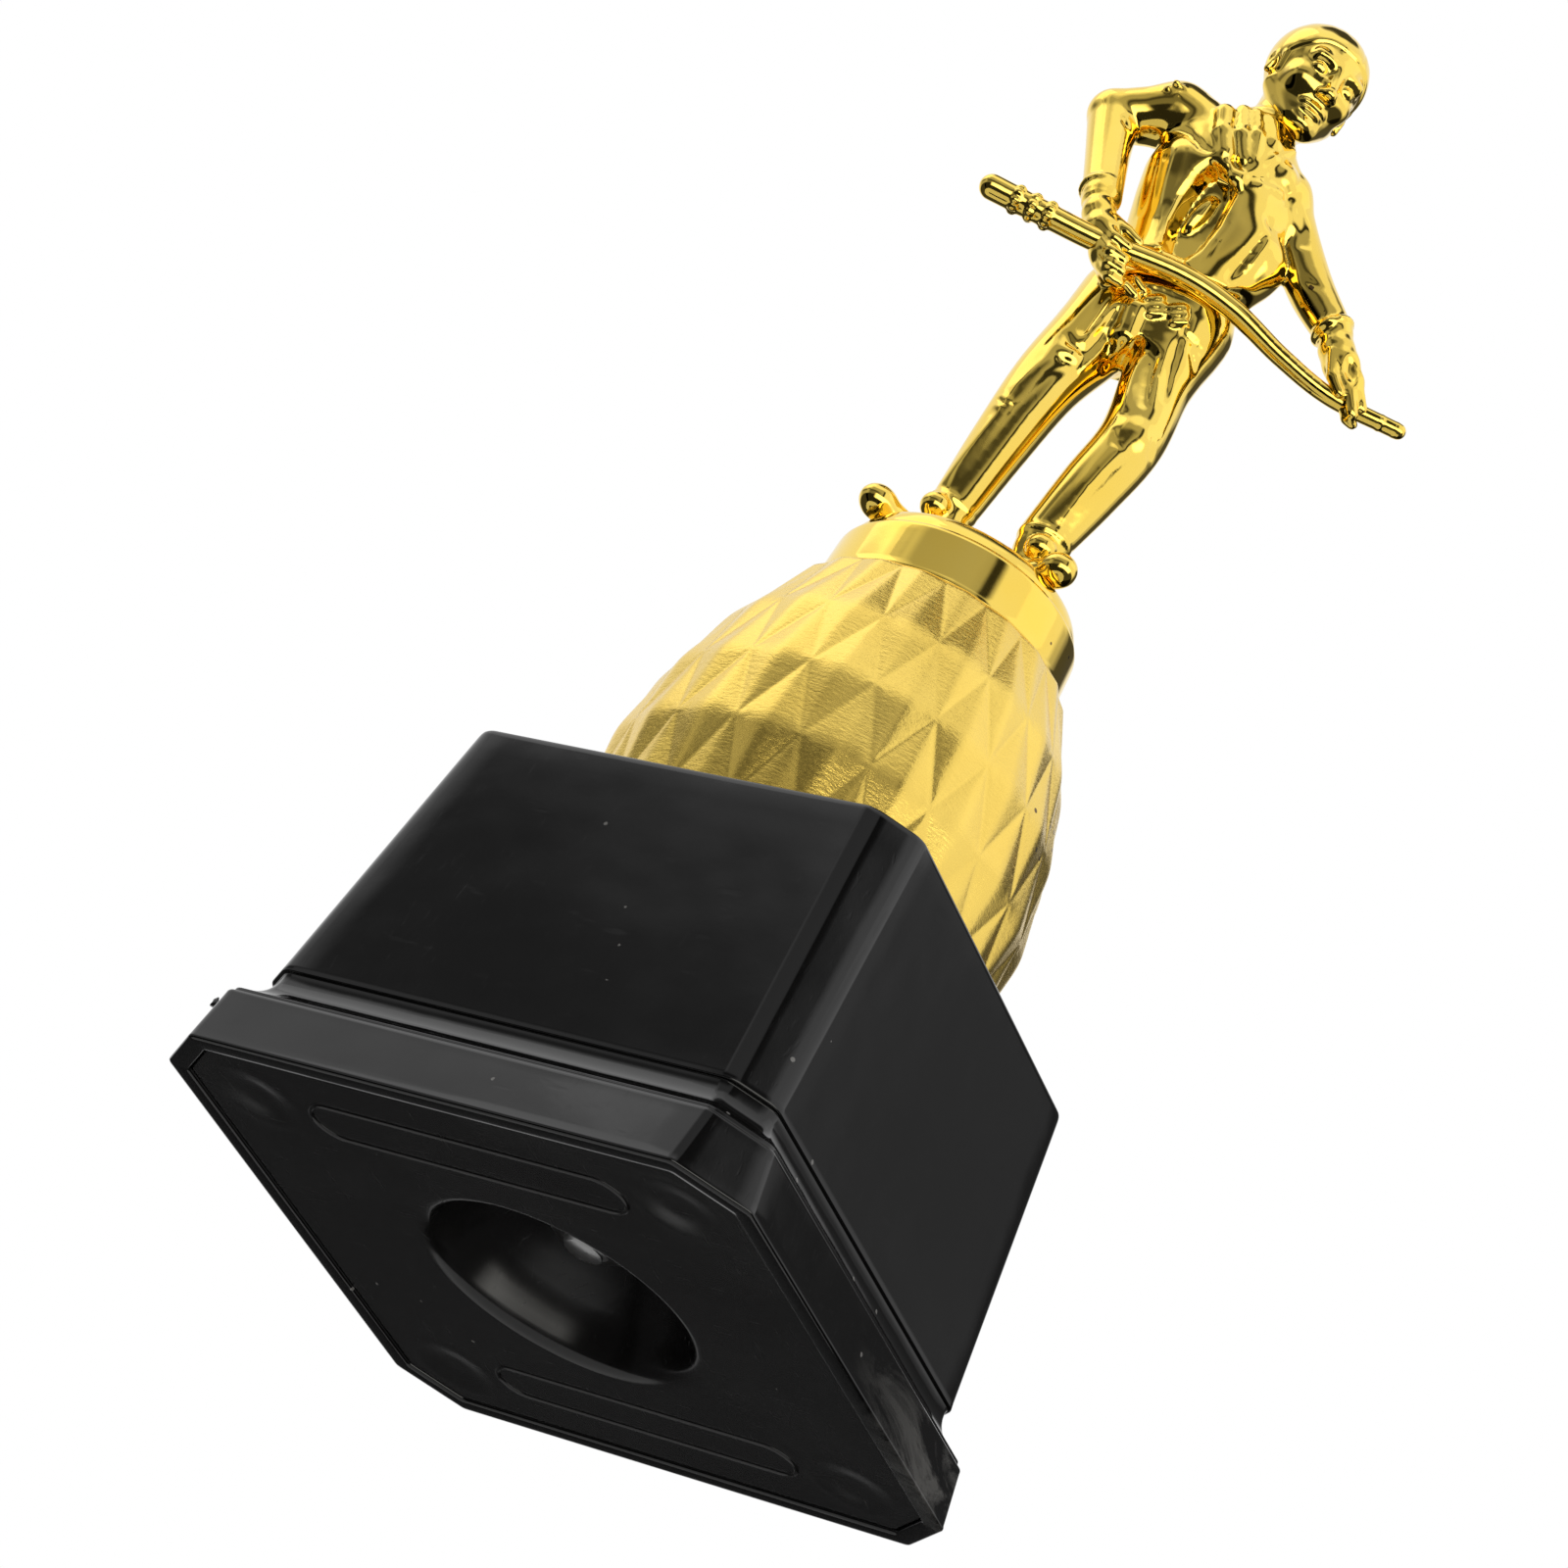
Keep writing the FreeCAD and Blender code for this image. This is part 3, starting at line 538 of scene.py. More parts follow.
def bottom_plate():
    n = 720
    ang = np.arange(n) / n * TAU
    half, cut, rad = 37.3, 5.6, 1.3
    # boundary distance of the rounded cut square at each bearing
    ring = cut_square(half, cut, rad, 0)
    ra = np.arctan2(ring[:, 1], ring[:, 0])
    rr = np.hypot(ring[:, 0], ring[:, 1])
    order = np.argsort(ra)
    edge = np.interp((ang + math.pi) % TAU - math.pi, ra[order], rr[order], period=TAU)
    mouth = 17.9

    def under(x, y, r):
        z = np.full_like(x, 0.4)
        for sx in (-1, 1):
            for sy in (-1, 1):
                d = np.hypot(x - sx * 29.0, y - sy * 29.0)
                z += 0.36 * (1 - smoothstep(d, 1.5, 5.2)) - 0.06 * np.exp(-((d - 5.6) / 0.7) ** 2)
        return z

    rings = []

    def add(r_of, z_of=None):
        r = r_of
        x, y = r * np.cos(ang), r * np.sin(ang)
        z = under(x, y, r) if z_of is None else np.full(n, float(z_of))
        rings.append(np.stack([x, y, z], 1))

    # underside, from the outer edge in to the mouth of the bowl
    fr = np.concatenate([[0.0, 0.02], np.linspace(0.06, 1, 70)])
    for t in fr:
        r = edge * (1 - t) + (mouth + 0.55) * t
        if t == 0:
            x, y = (edge) * np.cos(ang), (edge) * np.sin(ang)
            rings.append(np.stack([x, y, np.full(n, 0.62)], 1))
            r = edge - 0.06
            x, y = r * np.cos(ang), r * np.sin(ang)
            rings.append(np.stack([x, y, np.full(n, 0.48)], 1))
            r = edge - 0.22
        add(np.asarray(r) * np.ones(n))
    # rolled mouth, then the bowl wall and floor
    one = np.ones(n)
    for r, z in ((18.3, 0.43), (17.95, 0.5), (17.55, 0.68), (17.2, 0.98), (16.95, 1.4), (16.72, 2.0), (16.4, 2.9), (15.95, 4.1), (15.4, 5.4), (14.7, 6.6),
                 (14.0, 7.8), (13.3, 9.0), (12.6, 10.2), (11.95, 11.4), (11.4, 12.4), (11.0, 13.1), (10.6, 13.6), (10.1, 13.9), (9.4, 14.0),
                 (7.5, 14.0), (5.5, 14.0), (3.6, 14.0), (3.4, 14.15), (3.4, 15.8), (3.6, 16.0), (6.0, 16.0), (9.0, 16.0), (11.6, 16.0), (12.2, 15.8), (12.5, 15.3)):
        add(r * one, z)
    for z in (13.0, 10.0, 7.0, 4.6, 3.4):
        add((12.4 + 7.5 * (16.0 - z) / 15.6) * one, z)
    add((19.0 + 0.4) * one, 2.95)
    add((19.0 + 1.2) * one, 2.8)
    for t in (0.3, 0.6, 0.85):
        add(20.2 * (1 - t) + (edge - 0.5) * t, 2.8)
    add(edge - 0.3, 2.8)
    add(edge - 0.05, 2.7)
    add(edge, 2.5)
    v, q = ring_loft(rings, True)
    parts_v, parts_q = [v], [q]
    # two raised stadium outlines, each a low rounded bead
    for side in (-1, 1):
        path = []
        for sx in (1, -1):
            for a in np.linspace(-90, 90, 25):
                t = math.radians(a if sx > 0 else a + 180)
                path.append((sx * 18.2 + 3.25 * math.cos(t), side * 27.6 + 3.25 * math.sin(t)))
        path = np.array(path)
        nrm = np.roll(path, -1, 0) - np.roll(path, 1, 0)
        nrm = np.stack([nrm[:, 1], -nrm[:, 0]], 1) / np.linalg.norm(nrm, axis=1)[:, None]
        loops = []
        for off, z in ((0.36, 0.5), (0.34, 0.36), (0.24, 0.2), (0.08, 0.12), (-0.08, 0.12), (-0.24, 0.2), (-0.34, 0.36), (-0.36, 0.5)):
            p = path + nrm * off
            loops.append(np.concatenate([p, np.full((len(p), 1), z)], 1))
        vv, qq = ring_loft(loops, True)
        parts_q.append(qq + sum(len(x) for x in parts_v))
        parts_v.append(vv)
    return make_mesh("bottom_plate_moulding", np.concatenate(parts_v), np.concatenate(parts_q))


plate = outward(bottom_plate())
PLATE_BLACK = black_gloss("black_plate_plastic", 0.006, (0.16, 0.28), 0.5, 0.37)
finish_piece(plate, PLATE_BLACK, ("bottom_plate",))
post_objs = []
for k, (sx, sy) in enumerate(((1, 1), (-1, 1), (-1, -1), (1, -1)), start=1):
    prof = [(3.4, 2.8), (3.4, 3.4), (3.3, 15.6), (3.0, 15.95), (2.6, 16.0), (1.2, 16.0), (1.0, 15.8), (0.95, 6.0), (1.2, 3.2), (2.0, 2.8)]
    post = outward(lathe("weight_post_%d" % k, prof, 48))
    post.data.transform(Matrix.Translation((sx * 21.75 * MM, sy * 21.75 * MM, 0)))
    finish_piece(post, PLATE_BLACK)
    post_objs.append(post)


# ------------------------------------------------------------------ tie rod and its nuts
def threaded_rod(name, r, z0, z1, pitch, n=48, per_pitch=10):
    rings = []
    z = z0
    step = pitch / per_pitch
    count = int((z1 - z0) / step)
    ang = np.arange(n) / n * TAU
    for i in range(count + 1):
        zz = z0 + (z1 - z0) * i / count
        ph = ((zz / pitch) - ang / TAU) % 1.0
        tri = np.abs(ph - 0.5) * 2
        crest = np.clip((tri - 0.12) / 0.76, 0, 1)
        rr = r - 0.62 * pitch * 0.95 * (1 - crest)
        end = min(zz - z0, z1 - zz)
        rr = np.minimum(rr, r - max(0.0, 0.7 - end) * 0.9)
        rings.append(np.stack([rr * np.cos(ang), rr * np.sin(ang), np.full(n, zz)], 1))
    v, q = ring_loft(rings, False)
    v, q, t = capped(v, q, n)
    return make_mesh(name, v, q, t)


STEEL = zinc("zinc_plated_steel", (0.42, 0.42, 0.42))
DARK_STEEL = zinc("blackened_nut_steel", (0.035, 0.034, 0.033))
lo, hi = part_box("tie_rod")
rod = outward(threaded_rod("tie_rod_threaded", 3.0, lo.z / MM, hi.z / MM, 1.0))
finish_piece(rod, STEEL, ("tie_rod",))


def hex_nut(name, flats, thick, bore, z0, cad):
    n = 96
    ang = np.arange(n) / n * TAU
    apo = flats / 2
    hexr = apo / np.cos((ang % (math.pi / 3)) - math.pi / 6)
    hexr = np.minimum(hexr, apo / math.cos(math.pi / 6) - 0.08)

    def rg(r, z):
        return np.stack([r * np.cos(ang), r * np.sin(ang), np.broadcast_to(z, n) * 1.0], 1)
    cone_drop = np.clip(hexr - apo * 0.985, 0, None) * 0.55
    rings = [rg(np.full(n, bore + 0.45), z0), rg(np.full(n, apo * 0.94), z0), rg(np.full(n, apo * 0.975), z0 + 0.04), rg(hexr * 0.995, z0 + 0.06 + cone_drop),
             rg(hexr, z0 + 0.16 + cone_drop), rg(hexr, z0 + thick * 0.5), rg(hexr, z0 + thick - 0.16 - cone_drop),
             rg(hexr * 0.995, z0 + thick - 0.06 - cone_drop), rg(np.full(n, apo * 0.975), z0 + thick - 0.04), rg(np.full(n, apo * 0.94), z0 + thick),
             rg(np.full(n, bore + 0.45), z0 + thick), rg(np.full(n, bore + 0.02), z0 + thick - 0.4), rg(np.full(n, bore + 0.02), z0 + 0.4)]
    v, q = ring_loft(rings, True)
    ob = outward(make_mesh(name, v, q))
    finish_piece(ob, DARK_STEEL, (cad,))
    return ob


for cad in ("lower_nut", "cap_nut"):
    lo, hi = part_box(cad)
    hex_nut(cad + "_hex", 10.0, (hi.z - lo.z) / MM, 3.0, lo.z / MM, cad)
lo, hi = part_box("lower_washer")
z0, z1 = lo.z / MM, hi.z / MM
washer = outward(lathe("lower_washer_pressed", [(3.2, z0 + 0.15), (3.35, z0), (6.2, z0), (6.36, z0 + 0.1), (6.4, z0 + 0.3), (6.4, z1 - 0.25), (6.3, z1 - 0.05),
                                               (6.1, z1), (3.3, z1), (3.2, z1 - 0.1)], 96))
finish_piece(washer, zinc("blackened_washer", (0.04, 0.039, 0.038)), ("lower_washer",))
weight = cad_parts["ballast_weight"]
weight.data.materials.clear()
weight.data.materials.append(cast("cast_ballast"))


# ------------------------------------------------------------------ riser
def riser_mesh():
    count, start, groove = 20, 1.0, 0.6
    ring_z = np.array([53.3, 64.6, 75.4, 86.2, 97.0])
    crest = np.array([27.9, 28.5, 27.1, 23.95, 18.9])
    per, rows = 18, 28
    steps = 2 * count
    # facets sampled densely: piecewise linear in a diamond lattice of crests and crossings
    fa = np.arange(steps * per) / per                      # bearing in half steps
    fz = np.linspace(0, 4, 4 * rows + 1)                   # height in lattice rows
    A, Z = np.meshgrid(fa, fz)
    ia = np.floor(A).astype(int)
    iz = np.clip(np.floor(Z).astype(int), 0, 3)
    u, w = A - ia, Z - iz

    def vert(row, step):
        r = crest[row] - groove
        t = np.radians(start + step * 180.0 / count)
        return np.stack([r * np.cos(t), r * np.sin(t), ring_z[row]], -1)
    a, b = vert(iz, ia), vert(iz, ia + 1)
    c, e = vert(iz + 1, ia + 1), vert(iz + 1, ia)
    even = ((iz + ia) % 2 == 0)
    uu, ww = u[..., None], w[..., None]
    # even cells split along b-e, odd cells along a-c; crown is 1 on a crest and 0 along the grooves
    lower_be = a + (b - a) * uu + (e - a) * ww
    upper_be = c + (e - c) * (1 - uu) + (b - c) * (1 - ww)
    p_even = np.where(uu + ww <= 1, lower_be, upper_be)
    low_ac = a + (b - a) * uu + (c - b) * ww
    high_ac = a + (e - a) * ww + (c - e) * uu
    p_odd = np.where(uu >= ww, low_ac, high_ac)
    P = np.where(even[..., None], p_even, p_odd)
    crown = np.where(even, np.abs(1 - u - w), np.abs(u - w))
    lift = groove * (crown + 0.22 * crown * (1 - crown))
    flat = np.stack([P[..., 0], P[..., 1], P[..., 2] * 0], -1)
    flat /= np.linalg.norm(flat, axis=-1, keepdims=True)
    P = P + flat * lift[..., None]
    # plating softens the crests; the grooves stay crisp
    k = np.array([1, 4, 6, 4, 1], float)
    k /= k.sum()
    soft = P
    for _ in range(7):
        Q = sum(np.roll(soft, s - 2, axis=1) * k[s] for s in range(5))
        pad = np.concatenate([2 * Q[:1] - Q[1:3][::-1], Q, 2 * Q[-1:] - Q[-3:-1][::-1]])
        soft = sum(pad[s:s + len(Q)] * k[s] for s in range(5))
    share = smoothstep(crown, 0.04, 0.4)[..., None]
    P = P * (1 - share) + soft * share
    P[0, :, 2] = 53.3
    rings = [P[i] for i in range(len(P))]
    n = P.shape[1]
    bearing = np.radians(start + fa * 180.0 / count)

    def circ(r, z, blend=None):
        ring = np.stack([r * np.cos(bearing), r * np.sin(bearing), np.full(n, float(z))], 1)
        return ring if blend is None else ring * (1 - blend[1]) + blend[0] * blend[1]
    top = P[-1]
    # shoulder that turns in to the cap's seat, keeping the scallops
    rings.append(circ(17.6, 97.62, (top * np.array([1, 1, 0]) + np.array([0, 0, 97.45]), 0.45)))
    rings.append(circ(17.35, 97.7))
    rings.append(circ(16.0, 97.7))
    rings.append(circ(8.0, 97.7))
    rings.append(circ(3.7, 97.7))
    rings.append(circ(3.4, 97.5))
    rings.append(circ(3.4, 94.7))
    rings.append(circ(3.7, 94.5))
    rings.append(circ(9.0, 94.5))
    rings.append(circ(15.2, 94.5))
    rings.append(circ(16.0, 93.8))
    for r, z in ((20.5, 86.2), (23.6, 75.4), (25.0, 64.6), (24.4, 53.6)):
        rings.append(circ(r, z))
    rings.append(circ(24.6, 53.3))
    v, q = ring_loft(rings, True)
    return make_mesh("riser_faceted_barrel", v, q)


riser = outward(riser_mesh())
finish_piece(riser, satin_gold("satin_brushed_gold"), ("riser",))

# ------------------------------------------------------------------ cap
prof = [(17.1, 97.95), (17.1, 98.4)]
prof += [(17.1 - 0.35 * t, 97.7 + 7.1 * t) for t in np.linspace(0.12, 0.97, 10)]
prof += [(16.72, 104.95), (16.62, 105.15), (16.42, 105.28), (16.26, 105.42), (16.18, 105.62)]          # small step line
prof += [(16.12, 105.95), (15.98, 106.35), (15.8, 106.8), (15.58, 107.25), (15.36, 107.6), (15.15, 107.86), (14.85, 108.03), (14.5, 108.1)]
prof += [(12.0, 108.1), (8.0, 108.1), (4.0, 108.1), (0.6, 108.1)]
inner_prof = [(0.6, 105.5), (3.2, 105.5), (3.4, 105.3), (3.4, 104.4), (5.95, 104.4), (5.95, 98.2), (6.2, 97.9), (6.6, 97.7), (7.6, 97.7), (7.95, 97.95), (8.0, 98.4),
              (8.0, 104.8), (8.3, 105.3), (8.8, 105.5), (14.0, 105.5), (14.6, 105.3), (14.9, 104.8), (15.0, 98.4), (15.2, 97.85), (15.5, 97.7), (16.85, 97.7)]
cap_ob = outward(lathe("cap_drum", prof + inner_prof, 256))
finish_piece(cap_ob, bright_gold("bright_gold_cap_plating", 0.31), ("cap",))

# ------------------------------------------------------------------ sculpting with distance fields
# Figure axes: first the direction along the shoulders to the figure's left,
# second the direction the figure roughly faces, third up.  All in millimetres.
AX_U = np.array([0.8097, 0.5868, 0.0])
AX_W = np.array([0.5868, -0.8097, 0.0])
BODY_L = np.array([0.956, 0.292, 0.0])      # across the chest, in figure axes
BODY_F = np.array([-0.292, 0.956, 0.0])     # out of the chest, in figure axes
UP = np.array([0.0, 0.0, 1.0])


def to_world(p):
    p = np.asarray(p, float)
    return p[:, :1] * AX_U + p[:, 1:2] * AX_W + p[:, 2:] * UP


class Field:
    def __init__(self, lo, hi, h):
        self.lo = np.asarray(lo, float)
        self.h = h
        self.n = np.ceil((np.asarray(hi, float) - self.lo) / h).astype(int) + 1
        self.ax = [(self.lo[i] + h * np.arange(self.n[i])).astype(np.float32) for i in range(3)]
        self.d = np.full(self.n, 6.0, np.float32)

    def window(self, lo, hi, pad=3.2):
        s = []
        for i in range(3):
            a = int(np.floor((lo[i] - pad - self.lo[i]) / self.h))
            b = int(np.ceil((hi[i] + pad - self.lo[i]) / self.h)) + 1
            a, b = max(a, 0), min(b, self.n[i])
            if b <= a:
                return None, None
            s.append(slice(a, b))
        return tuple(s), (self.ax[0][s[0]][:, None, None], self.ax[1][s[1]][None, :, None], self.ax[2][s[2]][None, None, :])

    def add(self, shape, k=0.6):
        fn, lo, hi = shape
        s, p = self.window(lo, hi)
        if s is None:
            return self
        b = fn(*p)
        a = self.d[s]
        if k > 0:
            h = np.maximum(k - np.abs(a - b), 0) / k
            self.d[s] = np.minimum(a, b) - h * h * (k * 0.25)
        else:
            self.d[s] = np.minimum(a, b)
        return self

    def cut(self, shape, k=0.3):
        fn, lo, hi = shape
        s, p = self.window(lo, hi, 1.5)
        if s is None:
            return self
        b = -fn(*p)
        a = self.d[s]
        if k > 0:
            h = np.maximum(k - np.abs(a - b), 0) / k
            self.d[s] = np.maximum(a, b) + h * h * (k * 0.25)
        else:
            self.d[s] = np.maximum(a, b)
        return self

    def line(self, pts, width, depth, ends=True):
        """A soft groove (depth > 0) or ridge (depth < 0) along a polyline that lies on the surface."""
        pts = np.asarray(pts, float)
        lo, hi = pts.min(0), pts.max(0)
        s, p = self.window(lo, hi, 3 * width)
        if s is None:
            return self
        m = len(pts) - 1
        best = None
        for i in range(m):
            a, b = pts[i], pts[i + 1]
            ba = b - a
            px, py, pz = p[0] - a[0], p[1] - a[1], p[2] - a[2]
            t = np.clip((px * ba[0] + py * ba[1] + pz * ba[2]) / max(ba @ ba, 1e-9), 0, 1)
            q = (px - t * ba[0]) ** 2 + (py - t * ba[1]) ** 2 + (pz - t * ba[2]) ** 2
            fade = np.sqrt(np.maximum(np.sin(np.clip((i + t) / m, 0, 1) * math.pi), 0)) if ends else 1.0
            v = np.exp(-q / (width * width)) * fade
            best = v if best is None else np.maximum(best, v)
        self.d[s] += depth * best
        return self

    def wobble(self, amount, size, seed):
        """Slow unevenness, like a casting."""
        rng = np.random.default_rng(seed)
        x, y, z = (a.astype(float) for a in self.ax)
        for _ in range(5):
            k = rng.normal(size=3) / size
            ph = rng.uniform(0, TAU, 3)
            self.d += (amount * np.sin(k[0] * x + ph[0])[:, None, None] * np.sin(k[1] * y + ph[1])[None, :, None]
                       * np.sin(k[2] * z + ph[2])[None, None, :]).astype(np.float32)
        return self


def cone(a, b, ra, rb):
    a, b = np.asarray(a, float), np.asarray(b, float)
    ba = b - a
    inv = 1.0 / max(ba @ ba, 1e-9)

    def fn(x, y, z):
        px, py, pz = x - a[0], y - a[1], z - a[2]
        t = np.clip((px * ba[0] + py * ba[1] + pz * ba[2]) * inv, 0, 1)
        return np.sqrt((px - t * ba[0]) ** 2 + (py - t * ba[1]) ** 2 + (pz - t * ba[2]) ** 2) - (ra + (rb - ra) * t)
    r = max(ra, rb)
    return fn, np.minimum(a, b) - r, np.maximum(a, b) + r


def blob(c, semi, axes=None):
    """An ellipsoid; axes are three unit vectors."""
    c, semi = np.asarray(c, float), np.asarray(semi, float)
    A = np.eye(3) if axes is None else np.asarray(axes, float)

    def fn(x, y, z):
        px, py, pz = x - c[0], y - c[1], z - c[2]
        q = [(px * A[i, 0] + py * A[i, 1] + pz * A[i, 2]) for i in range(3)]
        k0 = np.sqrt(sum((q[i] / semi[i]) ** 2 for i in range(3)))
        k1 = np.sqrt(sum((q[i] / semi[i] ** 2) ** 2 for i in range(3)))
        return k0 * (k0 - 1.0) / np.maximum(k1, 1e-6)
    e = np.sqrt(((A * semi[:, None]) ** 2).sum(0))
    return fn, c - e, c + e


def frame_of(direction, side=(0, 1, 0)):
    """Axes whose first vector runs along direction."""
    d = np.asarray(direction, float)
    d = d / np.linalg.norm(d)
    s = np.asarray(side, float) - d * (d @ np.asarray(side, float))
    s = s / np.linalg.norm(s)
    return np.array([d, s, np.cross(d, s)])


def chain(pts):
    """Cones through points given as (u, w, z, radius)."""
    return [cone(p[:3], q[:3], p[3], q[3]) for p, q in zip(pts[:-1], pts[1:])]


def half_space(normal, at, lo, hi):
    n = np.asarray(normal, float)

    def fn(x, y, z):
        return (x - at[0]) * n[0] + (y - at[1]) * n[1] + (z - at[2]) * n[2]
    return fn, np.asarray(lo, float), np.asarray(hi, float)


def trunk(table, grow=0.0, z0=None, z1=None):
    t = np.asarray(table, float)
    zs = t[:, 0]
    lo_z, hi_z = zs[0] if z0 is None else z0, zs[-1] if z1 is None else z1
    dz = np.linspace(zs[0], zs[-1], 200)
    # smooth the tables a little so sections flow into each other
    cols = []
    for k in range(1, 5):
        v = np.interp(dz, zs, t[:, k])
        g = np.exp(-np.linspace(-2.5, 2.5, 25) ** 2)
        g /= g.sum()
        pad = np.concatenate([2 * v[0] - v[12:0:-1], v, 2 * v[-1] - v[-2:-14:-1]])
        cols.append(np.convolve(pad, g, "valid"))

    def fn(x, y, z):
        zz = np.asarray(z, float)
        cu, cw, a, b = (np.interp(zz, dz, c) for c in cols)
        px, py = x - cu, y - cw
        l = (px * BODY_L[0] + py * BODY_L[1])
        f = (px * BODY_F[0] + py * BODY_F[1])
        a, b = a + grow, b + grow
        k0 = np.sqrt((l / a) ** 2 + (f / b) ** 2)
        k1 = np.sqrt((l / a ** 2) ** 2 + (f / b ** 2) ** 2)
        d = k0 * (k0 - 1.0) / np.maximum(k1, 1e-6)
        return np.maximum(d, np.maximum(lo_z - zz, zz - hi_z))
    m = t[:, 3].max() + grow
    c = t[:, 1:3].mean(0)
    return fn, np.array([c[0] - m - 1, c[1] - m, lo_z]), np.array([c[0] + m + 1, c[1] + m, hi_z])


def polygon_prism(poly, w0, w1, rounding=0.0):
    """A prism over a polygon in the (u, z) plane, between two w values."""
    poly = np.asarray(poly, float)
    m = len(poly)

    def fn(x, y, z):
        X, Z = np.broadcast_arrays(x[:, 0, :], z[:, 0, :])
        X, Z = X.astype(float), Z.astype(float)
        best = np.full(X.shape, 1e9)
        sign = np.ones(X.shape)
        for i in range(m):
            a, b = poly[i], poly[i - 1]
            ex, ez = b[0] - a[0], b[1] - a[1]
            wx, wz = X - a[0], Z - a[1]
            t = np.clip((wx * ex + wz * ez) / (ex * ex + ez * ez), 0, 1)
            best = np.minimum(best, (wx - t * ex) ** 2 + (wz - t * ez) ** 2)
            c1, c2, c3 = Z >= a[1], Z < b[1], ex * wz > ez * wx
            flipm = (c1 & c2 & c3) | (~c1 & ~c2 & ~c3)
            sign = np.where(flipm, -sign, sign)
        d2 = (sign * np.sqrt(best) - rounding)[:, None, :]
        return np.maximum(d2, np.maximum(w0 - y, y - w1))
    return fn, np.array([poly[:, 0].min(), w0, poly[:, 1].min()]), np.array([poly[:, 0].max(), w1, poly[:, 1].max()])


def surface(field):
    """Naive surface nets: one quad per crossed lattice edge."""
    d, h = field.d, field.h
    d = np.where(d == 0, 1e-5, d)
    for a in range(3):                                    # keep the skin off the walls of the box
        sl = [slice(None)] * 3
        for e in (0, -1):
            sl[a] = e
            d[tuple(sl)] = np.maximum(d[tuple(sl)], 0.3)
    inside = d < 0
    nx, ny, nz = (n - 1 for n in d.shape)
    corner = [(i, j, k) for i in (0, 1) for j in (0, 1) for k in (0, 1)]
    cnt = np.zeros((nx, ny, nz), np.int8)
    for i, j, k in corner:
        cnt += inside[i:i + nx, j:j + ny, k:k + nz]
    active = (cnt > 0) & (cnt < 8)
    ids = np.full((nx, ny, nz), -1, np.int64)
    cells = np.argwhere(active)
    ids[active] = np.arange(len(cells))
    v = {c: d[cells[:, 0] + c[0], cells[:, 1] + c[1], cells[:, 2] + c[2]].astype(float) for c in corner}
    acc = np.zeros((len(cells), 3))
    num = np.zeros(len(cells))
    for ax in range(3):
        for c in corner:
            if c[ax]:
                continue
            e = list(c)
            e[ax] = 1
            e = tuple(e)
            va, vb = v[c], v[e]
            m = (va < 0) != (vb < 0)
            t = np.where(m, va / np.where(m, va - vb, 1), 0)
            p = np.tile(np.array(c, float), (len(cells), 1))
            p[:, ax] = t
            acc += p * m[:, None]
            num += m
    pos = field.lo + h * (cells + acc / np.maximum(num, 1)[:, None])
    quads = []
    for ax in range(3):
        sl0, sl1 = [slice(1, -1)] * 3, [slice(1, -1)] * 3
        sl0[ax], sl1[ax] = slice(0, -1), slice(1, None)
        s0, s1 = inside[tuple(sl0)], inside[tuple(sl1)]
        cross = np.argwhere(s0 != s1)
        flips = s0[tuple(cross.T)]
        base = cross + 1
        base[:, ax] -= 1
        o1, o2 = [a for a in range(3) if a != ax]
        q = []
        for da, db in ((1, 1), (0, 1), (0, 0), (1, 0)):
            c = base.copy()
            c[:, o1] -= da
            c[:, o2] -= db
            q.append(ids[tuple(c.T)])
        q = np.stack(q, 1)
        if ax == 1:
            q = q[:, ::-1]
        q[~flips] = q[~flips][:, ::-1]
        quads.append(q)
    quads = np.concatenate(quads)
    quads = quads[(quads >= 0).all(1)]
    return pos, quads


def relax(pos, quads, rounds=2, amount=0.5):
    n = len(pos)
    for _ in range(rounds):
        acc = np.zeros((n, 3))
        cnt = np.zeros(n)
        for a, b in ((0, 1), (1, 2), (2, 3), (3, 0)):
            for s, t in ((a, b), (b, a)):
                for c in range(3):
                    acc[:, c] += np.bincount(quads[:, s], pos[quads[:, t], c], n)
                cnt += np.bincount(quads[:, s], minlength=n)
        pos = pos + amount * (acc / np.maximum(cnt, 1)[:, None] - pos)
    return pos


def settle(pos, field, rounds=3):
    """Moves vertices onto the true zero level with a few Newton steps."""
    d, h, lo = field.d, field.h, field.lo
    top = np.array(d.shape) - 2

    def sample(p):
        g = np.clip((p - lo) / h, 0, top - 1e-3)
        i = np.floor(g).astype(int)
        f = g - i
        out = np.zeros(len(p))
        for a in (0, 1):
            for b in (0, 1):
                for c in (0, 1):
                    w = (f[:, 0] if a else 1 - f[:, 0]) * (f[:, 1] if b else 1 - f[:, 1]) * (f[:, 2] if c else 1 - f[:, 2])
                    out += w * d[i[:, 0] + a, i[:, 1] + b, i[:, 2] + c]
        return out
    e = h * 0.9
    for _ in range(rounds):
        v = sample(pos)
        g = np.stack([(sample(pos + np.eye(3)[k] * e) - sample(pos - np.eye(3)[k] * e)) / (2 * e) for k in range(3)], 1)
        n2 = np.maximum((g ** 2).sum(1), 0.05)
        step = np.clip(v / n2, -h, h)
        pos = pos - g * step[:, None]
    return pos


def tube(pts):
    """One limb: a run of tapered pieces joined without any swelling at the joints."""
    cones = chain(pts)

    def fn(x, y, z):
        best = None
        for c, _, _ in cones:
            d = c(x, y, z)
            best = d if best is None else np.minimum(best, d)
        return best
    return fn, np.min([c[1] for c in cones], axis=0), np.max([c[2] for c in cones], axis=0)

